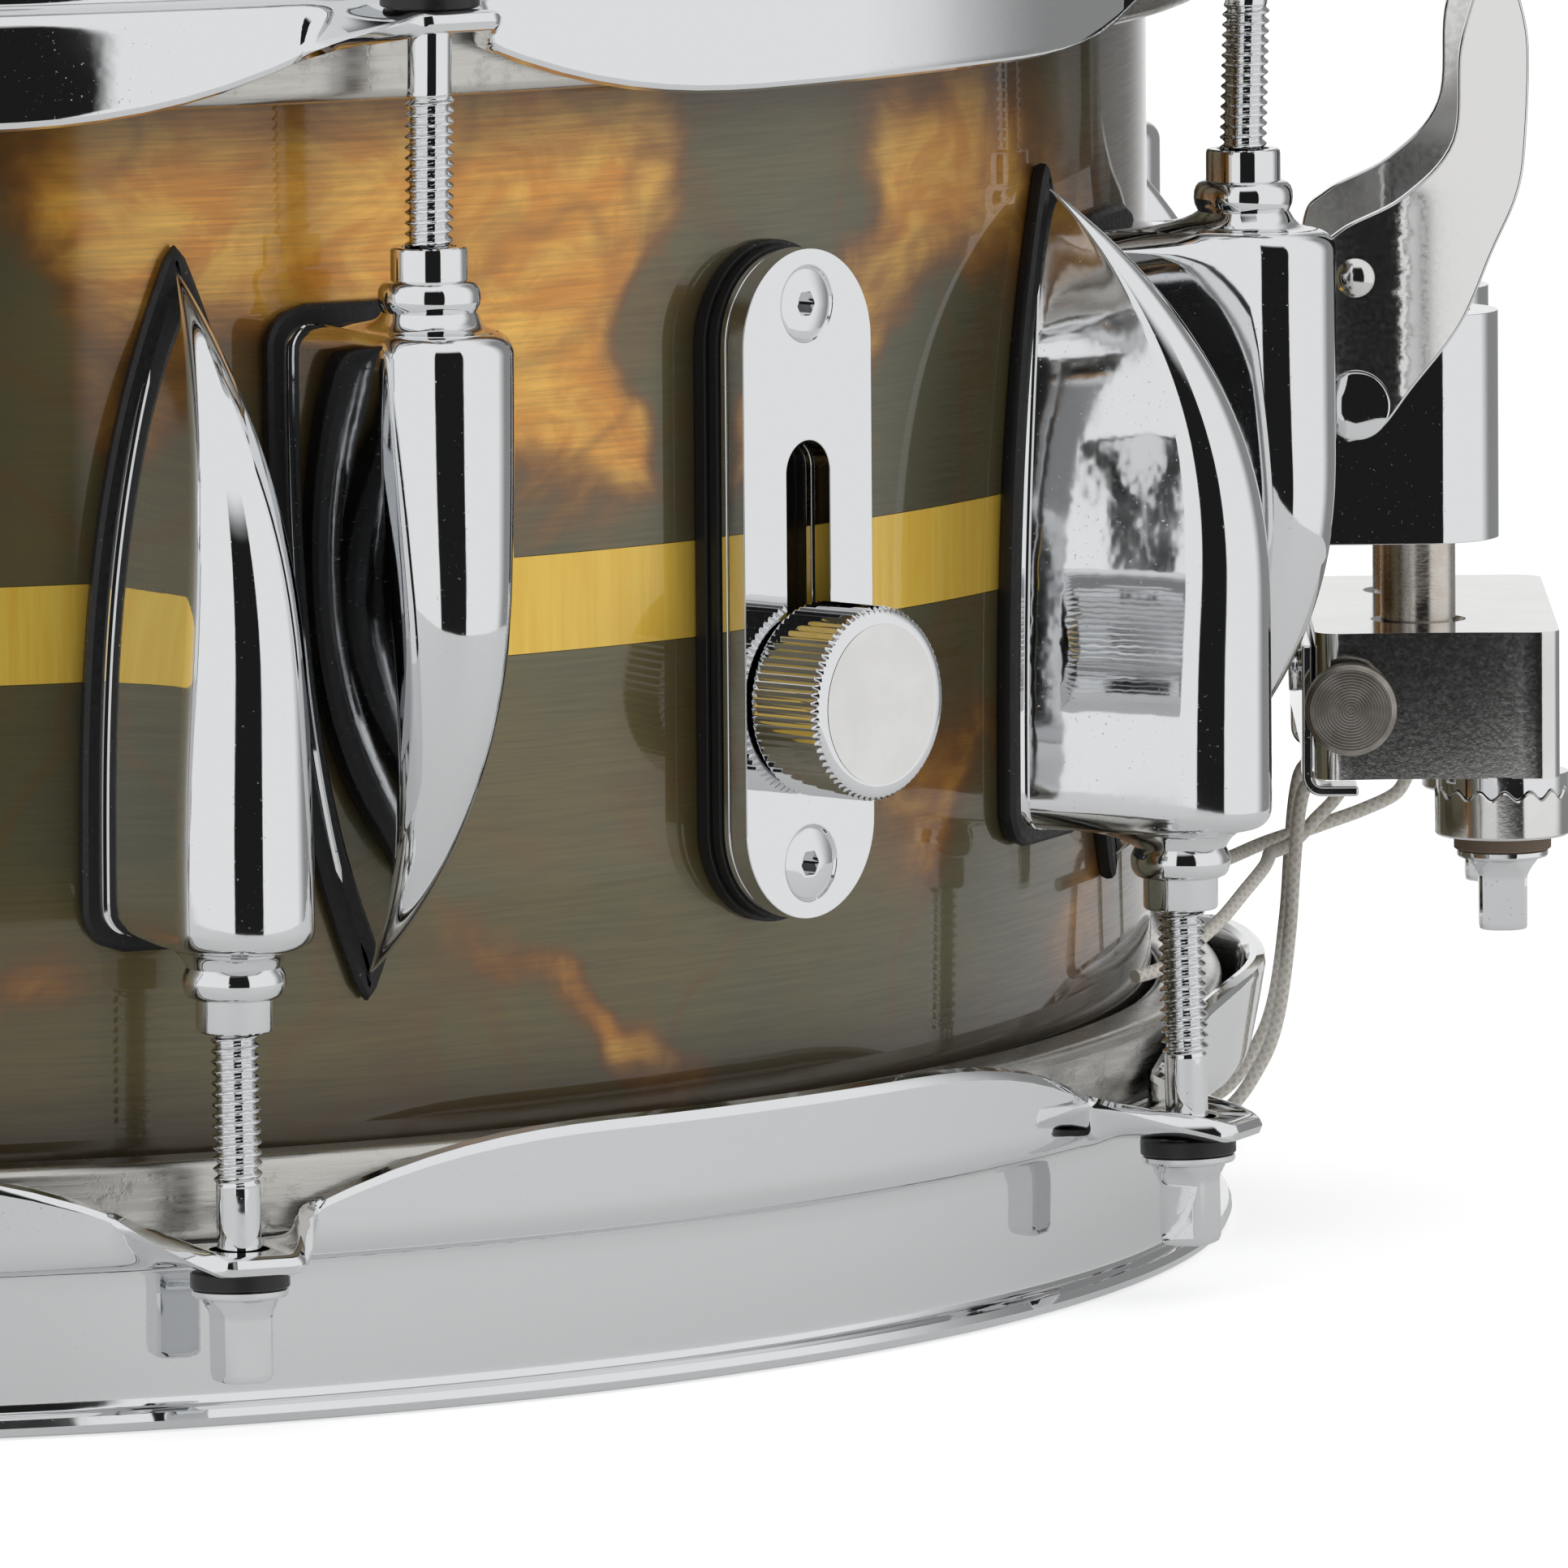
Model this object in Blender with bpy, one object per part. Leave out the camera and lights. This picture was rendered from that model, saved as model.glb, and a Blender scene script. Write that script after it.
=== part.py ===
"""A 14 x 6 inch snare drum: brass shell, single lugs, triple-flanged hoops, throw-off and internal muffler.

Heights are measured from the plane that the drum rests on. The parent empty then lowers everything, so
that the world origin is the centre of the batter head's playing surface. Angles go round the drum from -Y
towards +X, and the throw-off sits just short of +X.
"""

import math

import bmesh
import bpy
from mathutils import Matrix

# Shell and heads
SHELL_RADIUS = 0.1775
SHELL_WALL = 0.0020
SHELL_DEPTH = 0.1524
HOOP_OVERHANG = 0.0122
DRUM_HEIGHT = SHELL_DEPTH + 2 * HOOP_OVERHANG
MID_HEIGHT = DRUM_HEIGHT / 2
BATTER_FACE = DRUM_HEIGHT - HOOP_OVERHANG
EDGE_FLANGE = 0.0022
BAND_HEIGHT = 0.0116
BAND_DEPTH = 0.0006
GAP = 0.0003
RING_STEPS = 64
FILM = 0.0004
FILM_COLLAR_RADIUS = 0.1783
FLESH_OUTER_RADIUS = 0.1859
FLESH_FOOT = 0.0206
FLESH_TOP = 0.0300

# Hoops: a 2.3 mm sheet with a lip, a wall, a step over the flesh hoop and a waved skirt with eight ears
SHEET = 0.0023
LIP_RADIUS = 0.1870
WALL_RADIUS = 0.1846
SKIRT_RADIUS = 0.1890
STEP_HEIGHT = 0.0180
EAR_TOP = 0.0212
SKIRT_RISE = 0.0103
SKIRT_REACH_DEG = 16.0
SKIRT_POWER = 2.5
EAR_FLAT_DEG = 1.2
EAR_RADIUS = 0.2038
EAR_HALF_WIDTH = 0.0110
EAR_TIP_HALF_WIDTH = 0.0058
EAR_HOLE_RADIUS = 0.0036
GATE_HALF_DEG = 8.5
GATE_BOTTOM = 0.0035
GATE_TOP = 0.0168
GATE_BULGE = 0.0022
GATE_BULGE_DEG = 14.0

# Lugs and tension rods: eight pairs, 45 degrees apart, each pair split about its centre
LUG_PAIRS = 8
PAIR_ANGLE = 360 / LUG_PAIRS
FIRST_PAIR_ANGLE = PAIR_ANGLE / 2
LUG_SPLIT = 3.6
LUG_FOOT_RADIUS = 0.1780
LUG_FOOT_DEPTH = 0.0022
LUG_TIP = 0.1290
LUG_STRAIGHT_TOP = 0.0804
LUG_SHOULDER = 0.0562
LUG_BASE_END = 0.0548
LUG_FACE_RADIUS = 0.2060
LUG_TUBE_HALF_WIDTH = 0.0080
LUG_BASE_HALF_WIDTH = 0.0100
LUG_CURVE_POWER = 2.34
LUG_RING_RADIUS = 0.0057
NUT_RADIUS = 0.0043
NUT_END = 0.0454
ROD_CIRCLE_RADIUS = 0.1952
ROD_SPLAY = 1.56
ROD_RADIUS = 0.0027
ROD_BORE_RADIUS = 0.0035
ROD_INSIDE = 0.0200
FLANGE_DROP = 0.0285
FLANGE_RADIUS = 0.0055
FLANGE_THICKNESS = 0.0017
KEY_HALF_WIDTH = 0.0028
KEY_LENGTH = 0.0089
ROD_STEPS = 8

# Throw-off: drawn at +X, then turned to its own angle
STRAINER_ANGLE = 87
POST_X = 0.2090
POST_Y = 0.0160
POST_RADIUS = 0.00443
POST_BORE_RADIUS = 0.0049
POST_SEAT_DEPTH = 0.0130
TUBE_RADIUS = 0.0096
BASE_BACK = 0.1782
BASE_BOTTOM = 0.0820
BASE_TOP = 0.1089
BLOCK_BACK = 0.1964
BLOCK_FRONT = 0.2252
BLOCK_HALF_WIDTH = 0.0320
BLOCK_BOTTOM = 0.0549
BLOCK_TOP = 0.0722
BLOCK_CORNER = 0.0030
ADJUSTER_X = 0.2186
ADJUSTER_Y = 0.0240
DETENT_BOTTOM = 0.0538
DETENT_RADIUS = 0.0062
WHEEL_RADIUS = 0.0080
WHEEL_TOP = 0.0534
WHEEL_BOTTOM = 0.0475
ADJUSTER_FLANGE_BOTTOM = 0.0446
ADJUSTER_KEY_END = 0.0362
ADJUSTER_TOP = 0.0660
SCREW_RADIUS = 0.0027
SCREW_BORE_RADIUS = 0.0032
BUTTON_X = 0.2004
BUTTON_HEIGHT = 0.0638
BUTTON_RADIUS = 0.0054
BUTTON_NECK_RADIUS = 0.0028
BUTTON_BORE_RADIUS = 0.0032
BUTTON_PROUD = 0.0062
BUTTON_TRAVEL = 0.0025
BUTTON_SEAT = 0.0070
PIVOT_X = 0.2014
PIVOT_HEIGHT = 0.0989
PIN_RADIUS = 0.0024
PIN_BORE_RADIUS = 0.0028
PIN_HEAD_RADIUS = 0.0040
LEVER_INNER = 0.0262
LEVER_PLATE = 0.0020
LEVER_TOP = 0.1500
CLAMP_FACE = 0.1949
CLAMP_THICKNESS = 0.0012
CLAMP_HALF_WIDTH = 0.0290
CLAMP_TAB = 0.0065
CLAMP_TOP = 0.0705
CLAMP_NOTCH = 0.0575
CLAMP_LIP = 0.0526
CLAMP_LIP_REACH = 0.2015

# Snare wires and their cords
WIRE_HALF_SPAN = 0.1660
WIRE_HALF_WIDTH = 0.0209
WIRE_TOP = 0.0116
WIRE_THICKNESS = 0.0020
WIRE_PITCH = 0.0022
WIRE_GAP = 0.0007
END_PLATE = 0.0130
CORD_RADIUS = 0.00082
CORD_STEP = 0.0042

# Butt end, across the drum from the throw-off
BUTT_FRONT = 0.1914
BUTT_HALF_WIDTH = 0.0260
BUTT_BOTTOM = 0.0380
BUTT_TOP = 0.0700
BUTT_CLAMP_BACK = 0.1940
BUTT_CLAMP_FRONT = 0.1958

# Muffler at 45 degrees
MUFFLER_ANGLE = 45
PLATE_BACK = 0.1779
PLATE_FACE = 0.1841
PLATE_HALF_WIDTH = 0.01085
PLATE_HALF_HEIGHT = 0.0381
SLOT_HALF_WIDTH = 0.00365
SLOT_HALF_HEIGHT = 0.0163
SHELL_SLOT_MARGIN = 0.0006
KNOB_HEIGHT = 0.0755
KNOB_RADIUS = 0.01105
KNOB_LENGTH = 0.0105
KNOB_STEM_RADIUS = 0.0030
ARM_FRONT = 0.1718
ARM_THICKNESS = 0.0026
ARM_HALF_WIDTH = 0.0080
ARM_FOOT = 0.0665
SHELF_TOP = 0.1315
SHELF_REACH = 0.0300
PAD_RADIUS = 0.0130
PAD_TOP = 0.1385
PAD_CENTRE = 0.1540


def clear_scene():
    """Removes whatever the file opened with."""
    for obj in list(bpy.data.objects):
        bpy.data.objects.remove(obj, do_unlink=True)


def make_material(name, color, roughness, metallic):
    material = bpy.data.materials.new(name)
    material.use_nodes = True
    shader = material.node_tree.nodes["Principled BSDF"]
    shader.inputs["Base Color"].default_value = (*color, 1.0)
    shader.inputs["Roughness"].default_value = roughness
    shader.inputs["Metallic"].default_value = metallic
    return material


def add_object(name, mesh, material=None, matrix=None, smooth_below_deg=35):
    """Links a mesh under the drum's parent empty. One with no material is a cutter or a union's other half."""
    obj = bpy.data.objects.new(name, mesh)
    bpy.context.scene.collection.objects.link(obj)
    obj.parent = DRUM
    obj.matrix_local = matrix or Matrix.Identity(4)
    if material is None:
        obj.hide_render = True
        obj.display_type = "WIRE"
        return obj
    if not mesh.materials:
        mesh.materials.append(material)
        mesh.shade_smooth()
        mesh.set_sharp_from_angle(angle=math.radians(smooth_below_deg))
    return obj


def mesh_from(bm, name):
    """Closes a bmesh: merges its seam, turns its faces outwards and stores it."""
    bmesh.ops.remove_doubles(bm, verts=bm.verts, dist=1e-6)
    bmesh.ops.dissolve_degenerate(bm, edges=bm.edges, dist=1e-7)
    bmesh.ops.recalc_face_normals(bm, faces=bm.faces)
    mesh = bpy.data.meshes.new(name)
    bm.to_mesh(mesh)
    bm.free()
    return mesh


def lathe(name, profile, steps, closed=True):
    """Turns an (r, z) profile round Z. An open profile starts and ends on the axis."""
    bm = bmesh.new()
    points = [bm.verts.new((r, 0.0, z)) for r, z in profile]
    pairs = list(zip(points, points[1:]))
    if closed:
        pairs.append((points[-1], points[0]))
    edges = [bm.edges.new(pair) for pair in pairs]
    bmesh.ops.spin(
        bm, geom=points + edges, cent=(0, 0, 0), axis=(0, 0, 1), angle=math.tau, steps=steps, use_merge=True
    )
    return mesh_from(bm, name)


def prism(name, outline, low, high, axis="Z"):
    """Extrudes a flat outline from low to high along an axis. Its points are given in the other two axes."""
    place = {
        "X": lambda a, b, c: (c, a, b),
        "Y": lambda a, b, c: (a, c, b),
        "Z": lambda a, b, c: (a, b, c),
    }[axis]
    bm = bmesh.new()
    face = bm.faces.new([bm.verts.new(place(a, b, low)) for a, b in outline])
    raised = bmesh.ops.extrude_face_region(bm, geom=[face])["geom"]
    shift = place(0.0, 0.0, high - low)
    bmesh.ops.translate(bm, verts=[v for v in raised if isinstance(v, bmesh.types.BMVert)], vec=shift)
    return mesh_from(bm, name)


def loft(name, sections):
    """Skins a list of sections, each a ring of (x, y, z) points of one length, and closes both ends."""
    bm = bmesh.new()
    rings = [[bm.verts.new(point) for point in section] for section in sections]
    for lower, upper in zip(rings, rings[1:]):
        count = len(lower)
        for i in range(count):
            j = (i + 1) % count
            bm.faces.new((lower[i], lower[j], upper[j], upper[i]))
    bm.faces.new(rings[0])
    bm.faces.new(rings[-1])
    return mesh_from(bm, name)


def join_meshes(name, meshes, matrices):
    """Puts copies of meshes, each moved by its matrix, into one mesh."""
    bm = bmesh.new()
    for mesh, matrix in zip(meshes, matrices):
        piece = mesh.copy()
        piece.transform(matrix)
        bm.from_mesh(piece)
        bpy.data.meshes.remove(piece)
    joined = bpy.data.meshes.new(name)
    bm.to_mesh(joined)
    bm.free()
    return joined


def rectangle(a_low, a_high, b_low, b_high):
    return [(a_low, b_low), (a_high, b_low), (a_high, b_high), (a_low, b_high)]


def rounded_rectangle(a_low, a_high, b_low, b_high, radius, arc_steps=4):
    """A rectangle's outline with round corners."""
    outline = []
    corners = (
        (a_high - radius, b_low + radius, -90),
        (a_high - radius, b_high - radius, 0),
        (a_low + radius, b_high - radius, 90),
        (a_low + radius, b_low + radius, 180),
    )
    for a, b, start in corners:
        for k in range(arc_steps + 1):
            turn = math.radians(start + 90 * k / arc_steps)
            outline.append((a + radius * math.cos(turn), b + radius * math.sin(turn)))
    return outline


def circle(a, b, radius, steps=16):
    turns = [math.tau * k / steps for k in range(steps)]
    return [(a + radius * math.cos(t), b + radius * math.sin(t)) for t in turns]


def cut(obj, cutter, operation="DIFFERENCE"):
    modifier = obj.modifiers.new(cutter.name, "BOOLEAN")
    modifier.operation = operation
    modifier.object = cutter


def station(angle):
    """The frame at an angle round the drum: X points out from the axis, Y runs round the shell."""
    return Matrix.Rotation(math.radians(angle - 90), 4, "Z")


def turned_over():
    """Half a turn about the X axis at mid height, which takes the snare side's lugs to the batter side."""
    lift = Matrix.Translation((0, 0, MID_HEIGHT))
    return lift @ Matrix.Rotation(math.pi, 4, "X") @ lift.inverted()


def lug_angles(side):
    """The angles of one side's eight lugs: each pair has its snare-side lug first."""
    split = -LUG_SPLIT if side == "snare" else LUG_SPLIT
    return [FIRST_PAIR_ANGLE + PAIR_ANGLE * k + split for k in range(LUG_PAIRS)]


def side_frame(side, angle):
    """Where a piece drawn for the snare side at +X goes on either side of the drum."""
    return station(angle) @ (turned_over() if side == "batter" else Matrix.Identity(4))


def make_shell(brass, inlay):
    """The brass shell with both edges turned in, and the bright band let into its middle."""
    inner = SHELL_RADIUS - SHELL_WALL
    groove = SHELL_RADIUS - BAND_DEPTH - GAP
    band_low = MID_HEIGHT - BAND_HEIGHT / 2
    band_high = MID_HEIGHT + BAND_HEIGHT / 2
    low = HOOP_OVERHANG + FILM + GAP
    high = DRUM_HEIGHT - low
    profile = [
        (SHELL_RADIUS, high - EDGE_FLANGE),
        (SHELL_RADIUS, band_high),
        (groove, band_high),
        (groove, band_low),
        (SHELL_RADIUS, band_low),
        (SHELL_RADIUS, low + EDGE_FLANGE),
        (SHELL_RADIUS - EDGE_FLANGE, low),
        (inner - EDGE_FLANGE, low),
        (inner, low + EDGE_FLANGE),
        (inner, high - EDGE_FLANGE),
        (inner - EDGE_FLANGE, high),
        (SHELL_RADIUS - EDGE_FLANGE, high),
    ]
    shell = add_object("shell", lathe("shell", profile, RING_STEPS), brass)
    ring = [
        (SHELL_RADIUS, band_high - GAP),
        (SHELL_RADIUS - BAND_DEPTH, band_high - GAP),
        (SHELL_RADIUS - BAND_DEPTH, band_low + GAP),
        (SHELL_RADIUS, band_low + GAP),
    ]
    band = add_object("inlay_band", lathe("inlay_band", ring, RING_STEPS), inlay)
    reach = SHELL_SLOT_MARGIN
    outline = rounded_rectangle(
        -SLOT_HALF_WIDTH - reach,
        SLOT_HALF_WIDTH + reach,
        MID_HEIGHT - SLOT_HALF_HEIGHT - reach,
        MID_HEIGHT + SLOT_HALF_HEIGHT + reach,
        SLOT_HALF_WIDTH,
    )
    mesh = prism("muffler_slot_cutter", outline, ARM_FRONT - 0.01, PLATE_FACE, axis="X")
    slot = add_object("muffler_slot_cutter", mesh, matrix=station(MUFFLER_ANGLE))
    cut(shell, slot)
    cut(band, slot)


def head_profile():
    """The snare head's section: a film over the bearing edge, bonded into its flesh hoop."""
    edge = SHELL_RADIUS - EDGE_FLANGE
    face = HOOP_OVERHANG
    return [
        (0.0, face + FILM),
        (edge, face + FILM),
        (FILM_COLLAR_RADIUS - FILM, face + EDGE_FLANGE + FILM),
        (FILM_COLLAR_RADIUS, FLESH_TOP - GAP),
        (FILM_COLLAR_RADIUS + FILM, FLESH_TOP),
        (FLESH_OUTER_RADIUS, FLESH_TOP),
        (FLESH_OUTER_RADIUS, FLESH_FOOT),
        (FILM_COLLAR_RADIUS + FILM, FLESH_FOOT),
        (FILM_COLLAR_RADIUS + FILM, face + EDGE_FLANGE),
        (edge + FILM, face),
        (0.0, face),
    ]


def make_heads(batter_film, snare_film):
    """Both drum heads, each a film with its aluminium flesh hoop."""
    mesh = lathe("snare_head", head_profile(), RING_STEPS, closed=False)
    add_object("snare_head", mesh, snare_film)
    other = lathe("batter_head", head_profile(), RING_STEPS, closed=False)
    add_object("batter_head", other, batter_film, turned_over())


def skirt_top(angle, ears):
    """The height of the skirt's edge: flat at each ear and rising to a plateau between them."""
    away = min(abs((angle - ear + 180) % 360 - 180) for ear in ears)
    rise = min(max((away - EAR_FLAT_DEG) / (SKIRT_REACH_DEG - EAR_FLAT_DEG), 0.0), 1.0)
    return EAR_TOP + SKIRT_RISE * (1 - (1 - rise) ** SKIRT_POWER)


def gate_angles():
    return STRAINER_ANGLE, STRAINER_ANGLE + 180


def gate_bulge(angle):
    """How far the skirt stands out over a snare gate."""
    away = min(abs((angle - gate + 180) % 360 - 180) for gate in gate_angles())
    return GATE_BULGE * max(0.0, 1 - (away / GATE_BULGE_DEG) ** 2)


def hoop_mesh(name, ears, gated):
    """A hoop's turned section, with its skirt waved between the ears."""
    inner_wall = WALL_RADIUS - SHEET
    inner_skirt = SKIRT_RADIUS - SHEET + GAP
    top = EAR_TOP + SKIRT_RISE
    profile = [
        (inner_wall, 0.0),
        (LIP_RADIUS, 0.0),
        (LIP_RADIUS, SHEET),
        (WALL_RADIUS, SHEET + 0.0012),
        (WALL_RADIUS, STEP_HEIGHT),
        (SKIRT_RADIUS, STEP_HEIGHT + 0.0008),
        (SKIRT_RADIUS, top),
        (inner_skirt, top),
        (inner_skirt, STEP_HEIGHT + SHEET),
        (inner_wall, STEP_HEIGHT + SHEET),
    ]
    mesh = lathe(name, profile, RING_STEPS)
    for vertex in mesh.vertices:
        if vertex.co.z < top - GAP:
            continue
        angle = math.degrees(math.atan2(vertex.co.x, -vertex.co.y))
        bulge = gate_bulge(angle) if gated else 0.0
        radius = math.hypot(vertex.co.x, vertex.co.y)
        vertex.co *= (radius + bulge) / radius
        vertex.co.z = skirt_top(angle, ears)
    return mesh


def ear_mesh():
    """One ear's tab, drawn at +X."""
    root = SKIRT_RADIUS - SHEET / 2
    waist = (root + EAR_RADIUS) / 2
    outline = [
        (root, -EAR_HALF_WIDTH),
        (waist, -EAR_TIP_HALF_WIDTH - 0.0016),
        (EAR_RADIUS - 0.0012, -EAR_TIP_HALF_WIDTH),
        (EAR_RADIUS, -EAR_TIP_HALF_WIDTH + 0.0022),
        (EAR_RADIUS, EAR_TIP_HALF_WIDTH - 0.0022),
        (EAR_RADIUS - 0.0012, EAR_TIP_HALF_WIDTH),
        (waist, EAR_TIP_HALF_WIDTH + 0.0016),
        (root, EAR_HALF_WIDTH),
    ]
    return prism("ear", outline, EAR_TOP - SHEET, EAR_TOP)


def make_hoop(side, chrome):
    """One triple-flanged hoop. The snare side's has a gate for the cords at the throw-off and at the butt."""
    gated = side == "snare"
    angles = lug_angles(side)
    # The batter hoop is the snare hoop's shape turned over, so its ears are drawn at the mirrored angles.
    drawn = angles if gated else [180 - angle for angle in angles]
    flip = Matrix.Identity(4) if gated else turned_over()
    hoop = add_object(side + "_hoop", hoop_mesh(side + "_hoop", drawn, gated), chrome, flip)
    places = [station(angle) for angle in drawn]
    ears = join_meshes(side + "_ears", [ear_mesh()] * LUG_PAIRS, places)
    cut(hoop, add_object(side + "_ears", ears, matrix=flip), "UNION")
    drop = NUT_END - EAR_TOP
    centre = ROD_CIRCLE_RADIUS + drop * math.tan(math.radians(ROD_SPLAY))
    rim = circle(centre, 0.0, EAR_HOLE_RADIUS, ROD_STEPS)
    hole = prism("hole", rim, EAR_TOP - 2 * SHEET, EAR_TOP + SHEET)
    holes = join_meshes(side + "_ear_holes", [hole] * LUG_PAIRS, places)
    cut(hoop, add_object(side + "_ear_holes", holes, matrix=flip))
    if gated:
        half = WALL_RADIUS * math.sin(math.radians(GATE_HALF_DEG))
        outline = rectangle(-half, half, GATE_BOTTOM, GATE_TOP)
        opening = prism("gate", outline, WALL_RADIUS - 0.008, WALL_RADIUS + 0.008, axis="X")
        turns = [station(angle) for angle in gate_angles()]
        cut(hoop, add_object("snare_gates", join_meshes("snare_gates", [opening] * 2, turns)))


def lug_section(height):
    """A lug's outline at one height: a foot on the shell, hollow flanks, and a round-nosed tube in front."""
    span = (height - LUG_BASE_END) / (LUG_TIP - LUG_BASE_END)
    foot = LUG_BASE_HALF_WIDTH * (1 - max(span, 0.0) ** 3)
    climb = max(height - LUG_STRAIGHT_TOP, 0.0)
    full_climb = LUG_TIP - LUG_STRAIGHT_TOP
    reach = LUG_FACE_RADIUS - LUG_FOOT_RADIUS - LUG_FOOT_DEPTH
    nose = LUG_FACE_RADIUS - 0.98 * reach * (climb / full_climb) ** LUG_CURVE_POWER
    back = LUG_FOOT_RADIUS
    share = (nose - back) / (LUG_FACE_RADIUS - back)
    half = LUG_TUBE_HALF_WIDTH * min(1.0, 0.08 + 1.25 * share * (1 - max(span, 0.0) ** 3))
    flank = back + LUG_FOOT_DEPTH * min(1.0, share * 3)
    side = [
        (back, foot),
        (flank, foot * 0.97),
        (back + 0.42 * (nose - back), min(foot, half) * 0.62),
        (back + 0.66 * (nose - back), half),
        (back + 0.86 * (nose - back), half * 0.82),
        (nose, half * 0.30),
    ]
    left = [(x, -y) for x, y in reversed(side)]
    return [(x, y, height - MID_HEIGHT) for x, y in side + left]


def lug_mesh():
    """A half-moon lug, from its shoulder up to its pointed tip, drawn for the snare side at +X."""
    straight = [LUG_SHOULDER, LUG_STRAIGHT_TOP]
    curved = [0.0948, 0.1068, 0.1165, 0.1240, LUG_TIP - 0.0012]
    return loft("lug", [lug_section(height) for height in straight + curved])


def lug_nose_mesh():
    """The stepped end of the lug's tube: a ring, and the swivel nut that the rod screws into."""
    profile = [
        (0.0, LUG_SHOULDER + 0.0020),
        (LUG_RING_RADIUS + 0.0012, LUG_SHOULDER + 0.0020),
        (LUG_RING_RADIUS + 0.0012, LUG_SHOULDER - 0.0037),
        (LUG_RING_RADIUS, LUG_SHOULDER - 0.0037),
        (LUG_RING_RADIUS, LUG_SHOULDER - 0.0068),
        (NUT_RADIUS, LUG_SHOULDER - 0.0068),
        (NUT_RADIUS, NUT_END),
        (0.0, NUT_END),
    ]
    mesh = lathe("lug_nose", profile, ROD_STEPS, closed=False)
    mesh.transform(Matrix.Translation((ROD_CIRCLE_RADIUS, 0, -MID_HEIGHT)))
    return mesh


def rod_axis():
    """The rod's own frame, drawn for the snare side at +X: origin at the nut's end, Z up along the rod."""
    lean = Matrix.Rotation(math.radians(-ROD_SPLAY), 4, "Y")
    return Matrix.Translation((ROD_CIRCLE_RADIUS, 0, NUT_END)) @ lean


def make_lugs(chrome):
    """Sixteen single lugs that share one mesh, each bored for its rod."""
    body = lug_mesh()
    nose = lug_nose_mesh()
    bore = prism("bore", circle(0.0, 0.0, ROD_BORE_RADIUS, ROD_STEPS), -0.001, ROD_INSIDE + 0.002)
    bore.transform(Matrix.Translation((0, 0, -MID_HEIGHT)) @ rod_axis())
    lift = Matrix.Translation((0, 0, MID_HEIGHT))
    for side in ("snare", "batter"):
        for number, angle in enumerate(lug_angles(side), start=1):
            frame = side_frame(side, angle) @ lift
            label = f"{side}_lug_{number}"
            lug = add_object(label, body, chrome, frame)
            cut(lug, add_object(label + "_nose", nose, matrix=frame), "UNION")
            cut(lug, add_object(label + "_bore", bore, matrix=frame))


def rod_section(radius, height, square=False):
    """One ring of a tension rod, round or square."""
    ring = []
    for k in range(ROD_STEPS):
        turn = math.tau * k / ROD_STEPS
        reach = radius
        if square:
            reach = radius / max(abs(math.cos(turn)), abs(math.sin(turn)))
        ring.append((reach * math.cos(turn), reach * math.sin(turn), height))
    return ring


def rod_mesh():
    """A tension rod about its own axis: shank, flange and square key head."""
    under = -FLANGE_DROP
    foot = under - FLANGE_THICKNESS
    sections = [
        rod_section(ROD_RADIUS, ROD_INSIDE),
        rod_section(ROD_RADIUS, under),
        rod_section(FLANGE_RADIUS, under),
        rod_section(FLANGE_RADIUS, foot),
        rod_section(KEY_HALF_WIDTH * 1.15, foot - 0.0006),
        rod_section(KEY_HALF_WIDTH, foot - 0.0022, square=True),
        rod_section(KEY_HALF_WIDTH, foot - KEY_LENGTH, square=True),
    ]
    return loft("tension_rod", sections)


def make_rods(chrome):
    """Sixteen tension rods that share one mesh, each with its origin on its own axis."""
    mesh = rod_mesh()
    for side in ("snare", "batter"):
        for number, angle in enumerate(lug_angles(side), start=1):
            add_object(f"{side}_rod_{number}", mesh, chrome, side_frame(side, angle) @ rod_axis())


def both(mesh_of):
    """The near and the far copy of a strainer feature, from a function of its side: -1 near, 1 far."""
    meshes = [mesh_of(-1), mesh_of(1)]
    return join_meshes(meshes[0].name, meshes, [Matrix.Identity(4)] * 2)


def make_strainer_base(chrome, frame):
    """The throw-off's housing: a foot on the shell and two upright tubes that guide the posts."""
    across = POST_Y + TUBE_RADIUS
    outline = [(BASE_BACK, -across + 0.003), (BASE_BACK + 0.003, -across)]
    for centre, start, end in ((-POST_Y, -90, 60), (POST_Y, -60, 90)):
        for k in range(7):
            turn = math.radians(start + (end - start) * k / 6)
            outline.append((POST_X + TUBE_RADIUS * math.cos(turn), centre + TUBE_RADIUS * math.sin(turn)))
    outline += [(BASE_BACK + 0.003, across), (BASE_BACK, across - 0.003)]
    base_mesh = prism("strainer_base", outline, BASE_BOTTOM, BASE_TOP)
    base = add_object("strainer_base", base_mesh, chrome, frame)
    low = BASE_BOTTOM - 0.002
    high = BASE_TOP + 0.002
    bores = both(lambda side: prism("bore", circle(POST_X, side * POST_Y, POST_BORE_RADIUS, 12), low, high))
    cut(base, add_object("post_bores", bores, matrix=frame))
    hole = prism("pin_bore", circle(PIVOT_X, PIVOT_HEIGHT, PIN_BORE_RADIUS, 8), -0.04, 0.04, axis="Y")
    cut(base, add_object("pin_bore", hole, matrix=frame))


def lever_edges():
    """The lever's outer and inner edges from its lower tip, as offsets from the pivot."""
    rise = LEVER_TOP - PIVOT_HEIGHT
    outer = [
        (-0.0010, -0.0045),
        (0.0028, -0.0031),
        (0.0066, 0.0017),
        (0.0124, 0.0093),
        (0.0162, 0.0179),
        (0.0191, 0.0245),
        (0.0201, 0.0306),
        (0.0205, 0.0420),
        (0.0194, rise - 0.0030),
    ]
    inner = [
        (0.0150, rise),
        (0.0124, 0.0420),
        (0.0115, 0.0310),
        (0.0056, 0.0244),
        (-0.0019, 0.0204),
        (-0.0048, 0.0160),
        (-0.0048, 0.0000),
    ]
    return outer, inner


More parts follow.
